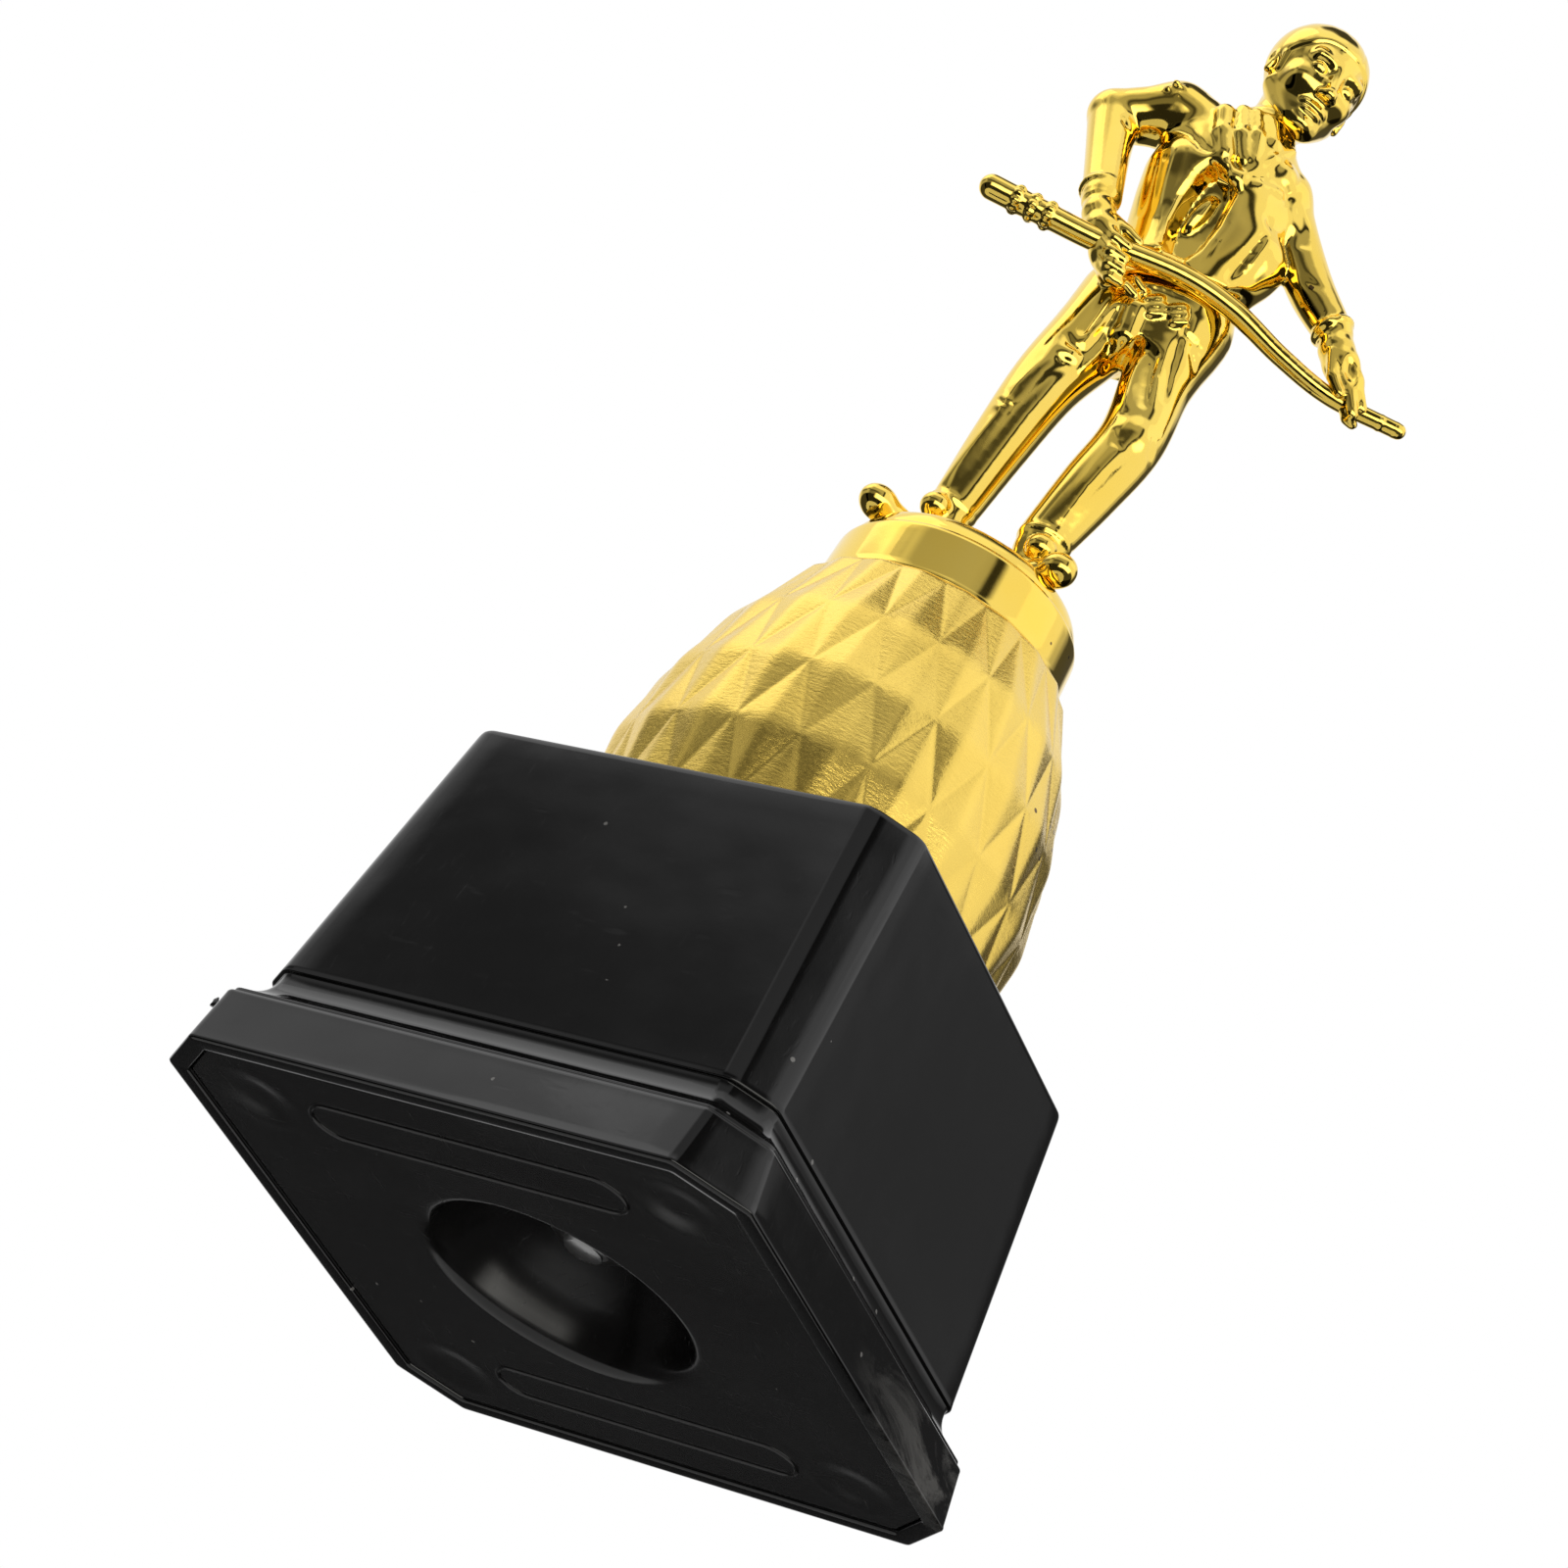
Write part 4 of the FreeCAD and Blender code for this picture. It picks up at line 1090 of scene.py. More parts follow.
# ------------------------------------------------------------------ the player: body and clothes
TRUNK = [(149.0, 3.6, 3.8, 7.2, 5.6), (153.0, 3.4, 3.7, 9.0, 6.3), (157.0, 3.5, 3.4, 9.3, 6.6), (160.5, 3.6, 3.2, 9.3, 6.4), (165.0, 4.2, 3.4, 8.8, 6.0),
         (168.0, 4.9, 3.6, 9.8, 6.1), (171.0, 5.0, 3.7, 10.5, 6.3), (174.5, 3.4, 3.8, 9.6, 6.4), (179.0, 2.3, 4.0, 9.2, 6.6), (184.0, 2.2, 4.2, 8.4, 6.0),
         (188.0, 2.9, 4.4, 6.2, 4.9), (191.5, 3.8, 4.8, 3.6, 3.5)]
HIP_R, THIGH_R, KNEE_R, CALF_R, ANK_R = (-0.8, 2.4, 156.3, 6.0), (-2.2, 2.6, 149.0, 5.5), (-4.3, 3.1, 139.5, 4.7), (-5.5, 2.2, 128.6, 4.0), (-6.4, 1.0, 117.6, 3.3)
HIP_L, THIGH_L, KNEE_L, CALF_L, ANK_L = (8.0, 4.6, 156.4, 6.1), (8.1, 5.4, 146.6, 4.8), (8.8, 6.6, 136.0, 4.4), (7.3, 6.2, 126.9, 4.15), (5.5, 5.4, 117.3, 3.5)
SH_R, ELB_R, FORE_R, WRI_R = (-6.9, 3.0, 187.6, 4.4), (-14.5, 1.0, 183.9, 3.6), (-12.4, 3.7, 175.4, 3.0), (-10.2, 6.5, 167.0, 2.7)
SH_L, UPARM_L, ELB_L, WRI_L = (10.3, 5.0, 182.7, 3.8), (14.8, 5.4, 177.2, 3.3), (19.6, 6.4, 171.0, 3.15), (24.8, 8.0, 165.6, 2.6)


def body_field(h):
    f = Field((-22.0, -8.5, 105.0), (36.5, 18.5, 199.0), h)
    # legs
    for pts in ((HIP_R, THIGH_R, KNEE_R, CALF_R, ANK_R), (HIP_L, THIGH_L, KNEE_L, CALF_L, ANK_L)):
        f.add(tube(smooth_path(pts, 18)), 1.6)
    # trunk
    f.add(trunk(TRUNK), 2.4)
    f.add(cone((3.4, 4.6, 187.5), (5.6, 5.8, 196.5), 3.7, 3.5), 1.6)
    # shoulders and arms
    f.add(cone((0.0, 3.9, 185.6), SH_R[:3], 5.2, SH_R[3]), 2.4)
    f.add(cone((5.0, 4.4, 184.2), SH_L[:3], 5.2, SH_L[3]), 2.4)
    f.add(tube((SH_R, ELB_R)), 1.8)
    f.add(tube(smooth_path((ELB_R, FORE_R, WRI_R), 18)), 0.5)
    f.add(tube(smooth_path((SH_L, UPARM_L, ELB_L, WRI_L), 18)), 1.8)
    return f


def torus(c, axis, major, minor, squash=1.0):
    """A ring bead round an axis; squash thins it along the axis."""
    c = np.asarray(c, float)
    A = frame_of(axis, (0.3, 0.8, 0.2))

    def fn(x, y, z):
        px, py, pz = x - c[0], y - c[1], z - c[2]
        along = px * A[0, 0] + py * A[0, 1] + pz * A[0, 2]
        r = np.sqrt(np.maximum(px ** 2 + py ** 2 + pz ** 2 - along ** 2, 0))
        return np.sqrt((r - major) ** 2 + (along / squash) ** 2) - minor
    e = major + minor
    return fn, c - e, c + e


def smooth_path(pts, n):
    """Catmull-Rom through rows of (u, w, z, radius)."""
    p = np.asarray(pts, float)
    p = np.concatenate([[2 * p[0] - p[1]], p, [2 * p[-1] - p[-2]]])
    out = []
    for i in range(1, len(p) - 2):
        for t in np.linspace(0, 1, n, endpoint=False):
            a, b, c, d = p[i - 1], p[i], p[i + 1], p[i + 2]
            out.append(0.5 * (2 * b + (c - a) * t + (2 * a - 5 * b + 4 * c - d) * t * t + (3 * b - a - 3 * c + d) * t ** 3))
    out.append(p[-2])
    return np.array(out)


def sculpt_body(h):
    f = body_field(h)

    # jacket: a second layer over the trunk with an open front and a hem
    j = Field(f.lo, f.lo + (np.array(f.n) - 1) * h, h)
    j.add(trunk(TRUNK, 0.95, 158.0, 190.5), 0)
    j.add(cone((0.0, 3.9, 185.6), (-4.5, 3.3, 187.0), 5.6, 4.8), 1.6)
    j.add(cone((5.0, 4.4, 184.2), (8.6, 4.8, 183.3), 5.6, 4.4), 1.6)
    keep = Field(f.lo, f.lo + (np.array(f.n) - 1) * h, h)
    keep.d[:] = 6.0
    left_flap = [(1.2, 179.0), (0.4, 176.1), (0.1, 172.5), (0.3, 168.4), (0.8, 164.6), (0.2, 163.2), (-0.9, 162.3), (-2.4, 162.3), (-9.7, 162.6), (-19.0, 177.5),
                 (-19.0, 190.0), (-3.2, 190.0)]
    right_flap = [(3.9, 178.2), (4.8, 175.5), (4.9, 169.7), (4.3, 165.1), (3.2, 161.8), (4.4, 160.7), (6.7, 161.0), (9.8, 161.9), (11.6, 163.8), (14.7, 165.8), (26.0, 168.3),
                  (26.0, 197.0), (0.0, 197.0), (0.6, 187.9)]
    big = 40.0

    def window_all(shape):
        fn, lo, hi = shape
        return fn, np.array([-big, -big, 100.0]), np.array([big, big, 210.0])
    keep.add(window_all(polygon_prism(left_flap, 3.0, 30.0)), 0)
    keep.add(window_all(polygon_prism(right_flap, 3.0, 30.0)), 0)
    keep.add(window_all(polygon_prism([(-30, 163.0), (30, 165.5), (30, 196), (-30, 196)], -20.0, 4.0)), 0)
    k = 0.5
    a, b = j.d, keep.d
    s = np.maximum(k - np.abs(a - b), 0) / k
    j.d = np.maximum(a, b) + s * s * k * 0.25
    k = 0.22
    a, b = f.d, j.d
    s = np.maximum(k - np.abs(a - b), 0) / k
    f.d = np.minimum(a, b) - s * s * k * 0.25

    # shirt front, collar leaves and knot
    ax = frame_of((1.5, 1.7, 7.2))
    tz = np.array([161.5, 164.6, 168.4, 172.5, 176.1, 178.6])
    tu = np.array([-0.6, -0.9, -1.6, -1.8, -1.4, -0.2])
    core, _, _ = trunk(TRUNK)
    window, _, _ = polygon_prism([(-0.6, 178.4), (-2.5, 175.8), (-2.8, 172.5), (-2.6, 168.4), (-1.9, 165.2), (-0.3, 163.6), (2.9, 163.2), (4.1, 165.4), (4.7, 169.7), (4.6, 175.3), (3.6, 177.6)],
                                 3.0, 30.0)

    def opening(x, y, z):
        across = x - np.interp(np.asarray(z, float), tz, tu)
        depth = np.clip(across * 1.25 - 0.95, -3.0, 2.1)
        return np.maximum(window(x, y, z), -(core(x, y, z) + depth))
    f.cut((opening, np.array([-3.0, 3.0, 161.0]), np.array([6.0, 14.0, 180.0])), 0.8)
    f.add(blob((2.0, 7.5, 171.6), (3.2, 1.0, 1.1), ax), 0.6)
    for pts, r, lift in ((((-1.7, 9.0, 186.9), (-0.6, 9.8, 183.3), (0.9, 10.4, 180.0)), 1.5, 0.15),
                         (((0.3, 8.8, 188.7), (1.7, 10.3, 184.1), (3.6, 10.7, 180.3)), 1.15, 0.3),
                         (((1.9, 9.0, 189.3), (3.4, 10.4, 185.2), (4.6, 10.7, 181.0)), 0.9, 0.45),
                         (((3.9, 9.3, 189.0), (5.6, 10.2, 185.6)), 1.7, -0.5)):
        for p, q in zip(pts[:-1], pts[1:]):
            f.add(cone((p[0], p[1] + lift, p[2]), (q[0], q[1] + lift, q[2]), r, r * 0.92), 0.45)
    for pts, r in ((((8.4, 8.6, 187.2), (6.6, 10.5, 183.3), (5.4, 10.9, 180.6), (4.4, 11.0, 177.9)), 0.8),
                   (((4.8, 10.9, 176.2), (7.0, 10.8, 177.9), (9.6, 9.8, 179.2)), 0.8),
                   (((-0.2, 10.2, 178.9), (1.8, 10.8, 178.4), (3.7, 11.0, 177.3)), 0.75)):
        for c in chain([(*p, r) for p in pts]):
            f.add(c, 0.4)
    f.add(blob((4.0, 11.0, 177.2), (1.5, 1.2, 1.35)), 0.4)
    f.add(blob((8.9, 9.0, 182.4), (2.2, 1.9, 2.2)), 1.0)
    f.add(blob((10.9, 7.5, 176.8), (2.2, 2.0, 2.9)), 1.3)
    f.add(blob((13.0, 7.2, 178.6), (2.9, 1.6, 1.5), frame_of((0.7, -0.1, -0.7))), 1.3)
    f.line([(4.8, 11.6, 178.0), (6.3, 11.2, 179.0), (8.2, 10.6, 181.2)], 0.3, 0.3)

    # jacket seams, lapel and folds
    f.line([(-7.5, 6.2, 183.4), (-4.5, 8.0, 181.9), (-2.2, 9.8, 179.6), (-0.3, 10.5, 178.9)], 0.55, 0.55)
    f.line([(-6.2, 7.0, 181.0), (-4.9, 8.0, 178.6), (-4.2, 8.0, 174.0), (-3.2, 7.6, 168.0)], 0.8, -0.35)
    f.line([(-7.0, 5.4, 179.5), (-6.0, 5.4, 174.0), (-5.0, 5.2, 168.5)], 0.7, 0.35)
    f.line([(9.6, 10.2, 175.0), (10.9, 9.4, 172.6), (12.9, 8.9, 170.6), (15.4, 6.9, 170.0)], 0.7, 0.8)
    f.line([(10.7, 10.6, 172.3), (10.0, 10.4, 167.3), (9.1, 9.8, 162.7)], 0.55, 0.6)
    f.line([(11.5, 10.2, 171.9), (11.1, 10.1, 167.6), (10.6, 9.4, 164.2)], 0.5, -0.45)
    f.line([(12.3, 9.8, 171.1), (12.1, 9.4, 168.3), (11.8, 8.7, 166.0)], 0.45, 0.45)
    f.line([(6.1, 11.0, 174.2), (5.9, 10.9, 169.5), (5.2, 10.6, 164.6), (4.4, 10.5, 162.4)], 0.45, -0.2)
    f.line([(12.6, 9.6, 180.4), (14.8, 9.4, 177.6), (15.9, 8.9, 174.4)], 0.75, 0.6)
    f.line([(-15.0, 3.9, 181.6), (-12.0, 5.4, 180.2), (-9.6, 6.4, 181.2)], 0.5, 0.45)
    f.line([(-16.0, 3.6, 182.6), (-13.0, 4.6, 180.9), (-10.6, 4.4, 179.8)], 0.4, -0.2)
    f.line([(17.4, 7.5, 171.2), (19.0, 9.2, 169.9), (21.0, 9.4, 169.4)], 0.5, 0.25)
    # worn nub where the sprue was cut from the shoulder
    rng = np.random.default_rng(5)
    for _ in range(9):
        o = rng.normal(size=3) * (0.75, 0.4, 0.75)
        f.add(blob((-8.7 + o[0], 6.9 + o[1], 188.6 + o[2]), (0.55, 0.5, 0.5)), 0.25)
    # back: centre seam and shoulder-blade folds
    f.line([(5.0, -1.9, 184.5), (6.0, -2.9, 178.0), (6.3, -2.7, 170.0), (6.0, -2.6, 164.0)], 0.4, 0.35)
    f.line([(-2.0, -2.6, 183.0), (1.5, -3.4, 177.0), (3.0, -3.4, 171.0)], 0.7, 0.3)
    f.line([(12.0, -0.6, 180.0), (10.0, -2.0, 175.0), (8.6, -2.6, 170.0)], 0.7, 0.3)

    # waistband, buckle and the row of belt lumps
    for g in ((2.9, 10.15, 153.5), (6.1, 10.85, 153.6)):
        for row in (-1, 0, 1):
            c = np.array(g) + np.array((0.53, 0.05, -0.85)) * row * 1.08
            e = np.array((0.85, 0.16, 0.53)) * (0.95 - 0.12 * abs(row))
            f.add(cone(c - e, c + e, 0.56, 0.6), 0.1)
    f.line([(-5.8, 6.0, 157.4), (-2.0, 9.6, 156.0), (2.0, 10.2, 156.8), (8.0, 11.0, 156.8), (12.0, 8.2, 158.0)], 0.5, -0.3)
    f.line([(-5.8, 6.0, 155.8), (-2.0, 9.6, 154.4), (0.8, 10.2, 154.4)], 0.3, 0.3)
    f.line([(7.8, 11.0, 155.0), (11.4, 9.0, 156.2), (13.2, 4.0, 157.0)], 0.3, 0.3)

    # trousers: fly, creases and crumples
    f.add(cone((1.0, 8.9, 152.2), (1.5, 8.3, 148.6), 1.7, 1.5), 0.45)
    f.add(cone((1.5, 8.3, 148.6), (1.8, 6.6, 146.2), 1.5, 0.8), 0.45)
    f.cut(cone((2.6, 8.3, 148.6), (2.4, 6.2, 145.4), 0.55, 0.9), 0.5)
    f.cut(blob((1.9, 6.2, 144.4), (1.3, 1.4, 1.0)), 0.6)
    f.line([(-3.0, 8.3, 153.3), (-3.6, 8.2, 148.4), (-3.6, 7.9, 145.5)], 0.55, 0.55)
    f.line([(-1.9, 8.6, 152.6), (-2.4, 8.4, 147.6), (-2.9, 8.0, 144.4)], 0.5, -0.45)
    f.line([(-0.9, 8.9, 151.9), (-1.2, 8.2, 146.2), (-2.0, 7.8, 142.9)], 0.45, 0.6)
    f.line([(0.2, 8.6, 149.0), (-0.5, 7.5, 144.2), (-1.3, 7.6, 140.3)], 0.5, -0.5)
    f.line([(-5.2, 7.2, 145.2), (-3.9, 8.0, 143.2), (-1.9, 7.6, 143.6)], 0.45, 0.45)
    f.line([(-5.6, 7.0, 141.6), (-4.2, 7.9, 140.6), (-2.4, 7.7, 141.2)], 0.4, 0.3)
    f.add(blob((-3.6, 7.4, 142.3), (1.3, 0.9, 1.0)), 0.5)
    f.line([(-5.1, 7.6, 143.3), (-5.7, 7.9, 139.9), (-7.1, 6.4, 134.7), (-7.6, 6.1, 129.8), (-8.5, 4.3, 123.8), (-9.3, 2.7, 118.6)], 0.9, -0.32)
    f.line([(-1.4, 7.3, 142.0), (-4.1, 7.9, 138.0), (-5.7, 6.6, 131.6), (-6.6, 5.3, 123.9), (-7.4, 4.2, 118.1)], 0.7, 0.25)
    f.line([(-8.4, 5.0, 133.4), (-7.5, 6.2, 132.3), (-6.6, 6.6, 132.2)], 0.35, -0.3)
    f.line([(-8.5, 4.8, 131.9), (-7.8, 5.9, 131.1), (-6.9, 6.2, 131.2)], 0.35, -0.3)
    f.line([(-8.5, 4.9, 132.7), (-7.7, 6.0, 131.7), (-6.8, 6.4, 131.7)], 0.25, 0.25)
    f.line([(4.2, 8.8, 147.1), (5.1, 9.2, 141.8), (5.9, 10.4, 137.1)], 0.85, -0.6)
    f.line([(5.9, 9.8, 147.4), (6.6, 10.2, 143.9), (7.9, 10.9, 138.6)], 0.5, 0.6)
    f.line([(6.3, 10.4, 150.6), (7.4, 10.5, 144.3), (8.9, 10.8, 139.2)], 0.6, -0.4)
    f.line([(7.6, 10.6, 151.5), (8.8, 10.4, 146.0), (9.9, 10.0, 140.8)], 0.5, 0.4)
    f.line([(3.7, 9.6, 150.6), (3.4, 7.8, 147.3), (3.8, 7.0, 144.0)], 0.5, 0.45)
    f.line([(7.2, 10.9, 155.0), (7.9, 10.6, 151.8), (11.3, 9.3, 151.3)], 0.5, 0.35)
    f.line([(10.4, 9.9, 153.8), (9.6, 10.2, 150.6), (11.5, 8.4, 148.2)], 0.5, 0.3)
    f.add(blob((9.0, 9.7, 134.8), (2.3, 1.6, 2.1)), 1.0)
    f.line([(8.7, 11.2, 133.6), (7.5, 10.5, 130.5), (6.3, 10.1, 124.3), (5.8, 9.0, 117.9)], 0.9, -0.3)
    f.line([(9.9, 10.7, 132.2), (8.6, 10.6, 128.5), (7.3, 10.2, 122.0), (6.8, 9.0, 118.0)], 0.45, 0.22)
    f.line([(10.7, 10.9, 136.2), (11.4, 10.0, 133.6), (12.2, 8.0, 133.2)], 0.6, 0.22)
    f.line([(6.0, 10.2, 134.2), (7.0, 10.8, 131.8), (8.6, 11.0, 131.4)], 0.4, 0.22)
    # hems of the trousers
    f.add(torus((-6.6, 1.0, 117.3), (0.1, 0.12, 1), 2.95, 0.5, 0.9), 0.3)
    f.add(torus((5.6, 5.5, 116.9), (-0.05, -0.05, 1), 3.15, 0.5, 0.9), 0.3)

    # shoes
    for heel, ball, toe, ank, knob in (((-3.81, -0.54, 110.5, 2.35), (-11.4, 3.2, 109.9, 2.0), (-14.9, 5.0, 110.2, 2.2), (-6.3, 1.1, 114.6, 3.0), (-8.5, 3.1, 115.1)),
                                       ((3.56, 2.58, 110.5, 2.35), (6.87, 8.93, 109.9, 2.1), (8.7, 12.1, 110.2, 2.2), (5.4, 5.4, 114.6, 3.1), (5.6, 8.6, 114.0))):
        heel, ball, toe, ank, knob = (np.array(v) for v in (heel, ball, toe, ank, knob))
        mid = (heel + ball) / 2
        f.add(cone(heel[:3], mid[:3], heel[3], 2.3), 0.8)
        f.add(cone(mid[:3], ball[:3], 2.3, ball[3]), 0.8)
        f.add(cone(ball[:3], toe[:3], ball[3], toe[3]), 0.8)
        f.add(cone(ank[:3], (mid + (0, 0, 0.8, 0))[:3], ank[3], 2.2), 0.8)
        f.add(blob(knob, (2.05, 2.05, 1.95)), 0.3)
        d = (toe - heel)[:3]
        d /= np.linalg.norm(d)
        f.add(blob(toe[:3] + (0, 0, 0.1), (2.7, 2.35, 2.2), frame_of(d, (-d[1], d[0], 0))), 0.35)
        side = np.array([-d[1], d[0], 0])
        # welt line above the sole
        for s in (-1, 1):
            f.line([heel[:3] + side * s * 2.3 + (0, 0, -1.3), mid[:3] + side * s * 2.3 + (0, 0, -1.3), ball[:3] + side * s * 2.6 + (0, 0, -1.3),
                    toe[:3] + side * s * 2.2 + (0, 0, -1.2)], 0.3, 0.25, False)

    # cuffs
    f.add(torus((-10.9, 6.0, 168.2), (2.4, 2.9, -8.4), 2.45, 0.45), 0.25)
    f.add(torus((-10.1, 7.0, 165.6), (2.4, 2.9, -8.4), 1.95, 0.35), 0.2)
    f.add(torus((24.6, 8.0, 165.7), (5.2, 1.6, -5.4), 2.55, 0.55), 0.2)
    f.line([(23.0, 9.8, 167.6), (24.0, 10.8, 166.0), (25.6, 10.0, 166.6)], 0.35, 0.2)

    # right hand closed round the butt of the cue
    for c in chain([(-10.4, 6.8, 166.4, 2.1), (-9.4, 8.0, 163.4, 2.15), (-7.9, 8.9, 160.6, 2.4), (-5.8, 9.3, 157.6, 2.3), (-4.6, 9.0, 155.6, 1.7)]):
        f.add(c, 0.8)
    for pts in (((-8.3, 10.0, 160.8, 1.05), (-6.0, 11.4, 158.8, 0.95), (-4.0, 11.4, 158.5, 0.85)), ((-7.7, 10.0, 158.6, 1.05), (-5.5, 11.6, 156.5, 0.95), (-3.6, 11.5, 156.4, 0.85)),
                ((-6.8, 9.9, 156.8, 1.0), (-5.0, 11.3, 154.9, 0.95), (-3.2, 11.2, 154.9, 0.8)), ((-5.7, 9.6, 155.3, 0.95), (-4.1, 10.8, 153.5, 0.88), (-2.6, 10.6, 153.6, 0.72)),
                ((-7.4, 9.2, 162.7, 1.1), (-5.1, 10.4, 161.3, 1.0), (-3.1, 10.8, 160.4, 0.82)), ((-1.9, 9.9, 154.5, 0.65), (-0.1, 9.9, 153.7, 0.62)),
                ((-1.0, 9.9, 155.9, 0.65), (0.6, 9.9, 155.0, 0.62))):
        g = chain(pts)
        f.add(g[0], 0.22)
        for c in g[1:]:
            f.add(c, 0.22)
    f.line([(-9.0, 9.6, 161.6), (-7.4, 10.6, 159.4), (-6.0, 11.0, 157.4)], 0.3, 0.2)

    # left hand: bridge with the cue through it
    for c in chain([(25.6, 8.3, 164.4, 2.1), (26.2, 8.6, 163.0, 2.3), (27.6, 9.0, 161.0, 2.35), (29.4, 9.4, 158.6, 2.15), (30.7, 9.6, 156.6, 1.7)]):
        f.add(c, 0.8)
    f.cut(blob((28.9, 11.6, 159.4), (2.0, 0.9, 0.95), frame_of((1.3, 0.2, -2.8))), 0.5)
    for pts in (((29.4, 9.6, 156.6, 1.0), (31.5, 9.8, 153.6, 0.85)), ((30.0, 10.6, 156.7, 1.0), (31.7, 10.8, 153.8, 0.85)), ((30.8, 10.2, 158.0, 1.0), (32.5, 10.2, 155.7, 0.8)),
                ((31.5, 9.8, 153.6, 0.9), (32.4, 9.6, 153.3, 0.75)), ((25.9, 10.2, 161.3, 0.9), (27.2, 10.8, 157.4, 0.85), (29.0, 11.1, 155.4, 0.72))):
        for c in chain(pts):
            f.add(c, 0.22)
    f.line([(28.3, 11.0, 162.0), (30.4, 11.4, 159.6), (31.4, 11.2, 157.4)], 0.35, 0.25)

    f.wobble(0.006, 4.0, 11)
    # flat soles on the cap, then the two pegs below them
    z = f.ax[2][None, None, :]
    f.d = np.maximum(f.d, 108.1 - z)
    for u, w in ((-7.63, 1.32), (5.21, 5.75)):
        x, y = f.ax[0][:, None, None], f.ax[1][None, :, None]
        peg = np.maximum(np.hypot(x - u, y - w) - 1.45, np.maximum(106.15 - z, z - 110.0))
        f.d = np.minimum(f.d, peg.astype(np.float32))
    return f


def sculpt_head(h):
    """Head in its own axes: across, forward, up."""
    f = Field((-8.6, -9.4, -11.5), (8.6, 10.6, 10.2), h)
    f.add(blob((0, -0.6, 2.2), (6.55, 7.2, 6.75)), 0)
    f.add(blob((0, 1.3, -1.4), (5.5, 5.9, 7.0)), 1.4)
    f.add(blob((0, 3.3, -6.0), (3.1, 3.1, 2.5)), 1.2)
    for s in (-1, 1):
        f.add(cone((s * 4.4, 0.4, -3.2), (s * 1.5, 4.4, -6.9), 1.6, 1.5), 1.2)
        f.add(blob((s * 3.1, 4.3, -1.7), (1.9, 1.9, 1.7)), 1.4)
    f.add(cone((0, -2.2, -5.0), (-0.4, -2.6, -11.0), 3.7, 3.6), 1.2)
    f.add(cone((-3.5, 5.7, 2.0), (3.5, 5.7, 2.0), 0.8, 0.8), 1.2)
    for s in (-1, 1):
        f.cut(blob((s * 2.6, 7.5, 0.35), (1.75, 1.25, 1.05)), 0.9)
        f.add(blob((s * 2.5, 5.65, 0.2), (1.25, 1.15, 1.0)), 0.15)
        f.line([(s * 1.2, 6.85, 0.0), (s * 1.8, 6.95, 0.6), (s * 2.6, 6.85, 0.85), (s * 3.4, 6.35, 0.55), (s * 3.9, 5.8, 0.05)], 0.32, -0.16)
        f.line([(s * 1.3, 6.8, -0.3), (s * 2.2, 6.7, -0.75), (s * 3.3, 6.2, -0.6)], 0.32, -0.07)
        f.line([(s * 1.2, 7.0, 1.95), (s * 2.5, 6.9, 2.3), (s * 3.9, 6.1, 1.9)], 0.5, -0.14)
    f.add(cone((0, 6.5, 1.4), (0, 8.0, -2.4), 0.62, 0.9), 0.8)
    f.add(blob((0, 8.1, -2.5), (1.05, 0.95, 0.85)), 0.5)
    for s in (-1, 1):
        f.add(blob((s * 1.0, 7.45, -2.75), (0.62, 0.75, 0.58)), 0.35)
        f.line([(s * 1.7, 6.9, -3.1), (s * 2.3, 6.5, -4.0), (s * 2.6, 6.1, -4.9)], 0.5, 0.08)
    f.add(blob((0, 6.05, -4.62), (2.1, 1.05, 0.62)), 0.45)
    f.add(blob((0, 6.05, -5.5), (1.75, 1.1, 0.66)), 0.4)
    f.line([(-2.1, 6.5, -5.08), (-1.0, 6.95, -5.03), (0, 7.1, -5.07), (1.0, 6.95, -5.03), (2.1, 6.5, -5.08)], 0.27, 0.2)
    f.line([(-1.1, 6.6, -6.35), (0, 6.8, -6.45), (1.1, 6.6, -6.35)], 0.45, 0.12)
    f.add(blob((0, 5.5, -7.2), (1.7, 1.5, 1.25)), 0.8)
    # ears
    for s in (-1, 1):
        tilt = frame_of((0.0, -0.25, 1.0), (s * 0.9, -0.35, 0.1))
        f.add(blob((s * 6.35, -0.5, -0.5), (1.95, 0.75, 1.15), tilt), 0.4)
        f.cut(blob((s * 7.1, -0.2, -0.35), (1.15, 0.5, 0.62), tilt), 0.25)
        f.add(blob((s * 6.55, -0.1, -2.05), (0.62, 0.45, 0.55), tilt), 0.25)
    # hair: short and smooth, a thin layer combed back
    x, y, z = f.ax[0][:, None, None], f.ax[1][None, :, None], f.ax[2][None, None, :]
    hair, _, _ = blob((0, -0.75, 2.45), (6.95, 7.6, 6.95))
    d = hair(x, y, z)
    part = x - 2.2
    strands = 0.012 * np.sin(3.4 * x + 0.9 * np.sin(0.5 * y) + 0.35 * z) + 0.08 * np.exp(-(part / 0.35) ** 2) * (y > -1)
    front = (4.7 + (y - 6.0) * 0.95 - z) * 0.72 + 0.25 * np.exp(-((np.abs(x) - 3.6) / 1.1) ** 2)
    front = np.where(y > 6.0, (4.7 - z), front)
    low = -4.4 - z + 0.12 * x * x * 0
    edge = np.maximum(front, low)
    d = d + strands.astype(np.float32)
    k = 0.5
    s = np.maximum(k - np.abs(d - edge), 0) / k
    d = np.maximum(d, edge) + s * s * k * 0.25
    k = 0.25
    s = np.maximum(k - np.abs(f.d - d), 0) / k
    f.d = (np.minimum(f.d, d) - s * s * k * 0.25).astype(np.float32)
    for s in (-1, 1):
        f.add(cone((s * 5.95, 1.5, 0.6), (s * 5.8, 1.5, -1.6), 0.55, 0.35), 0.4)          # sideburns
    f.wobble(0.004, 2.4, 21)
    return f


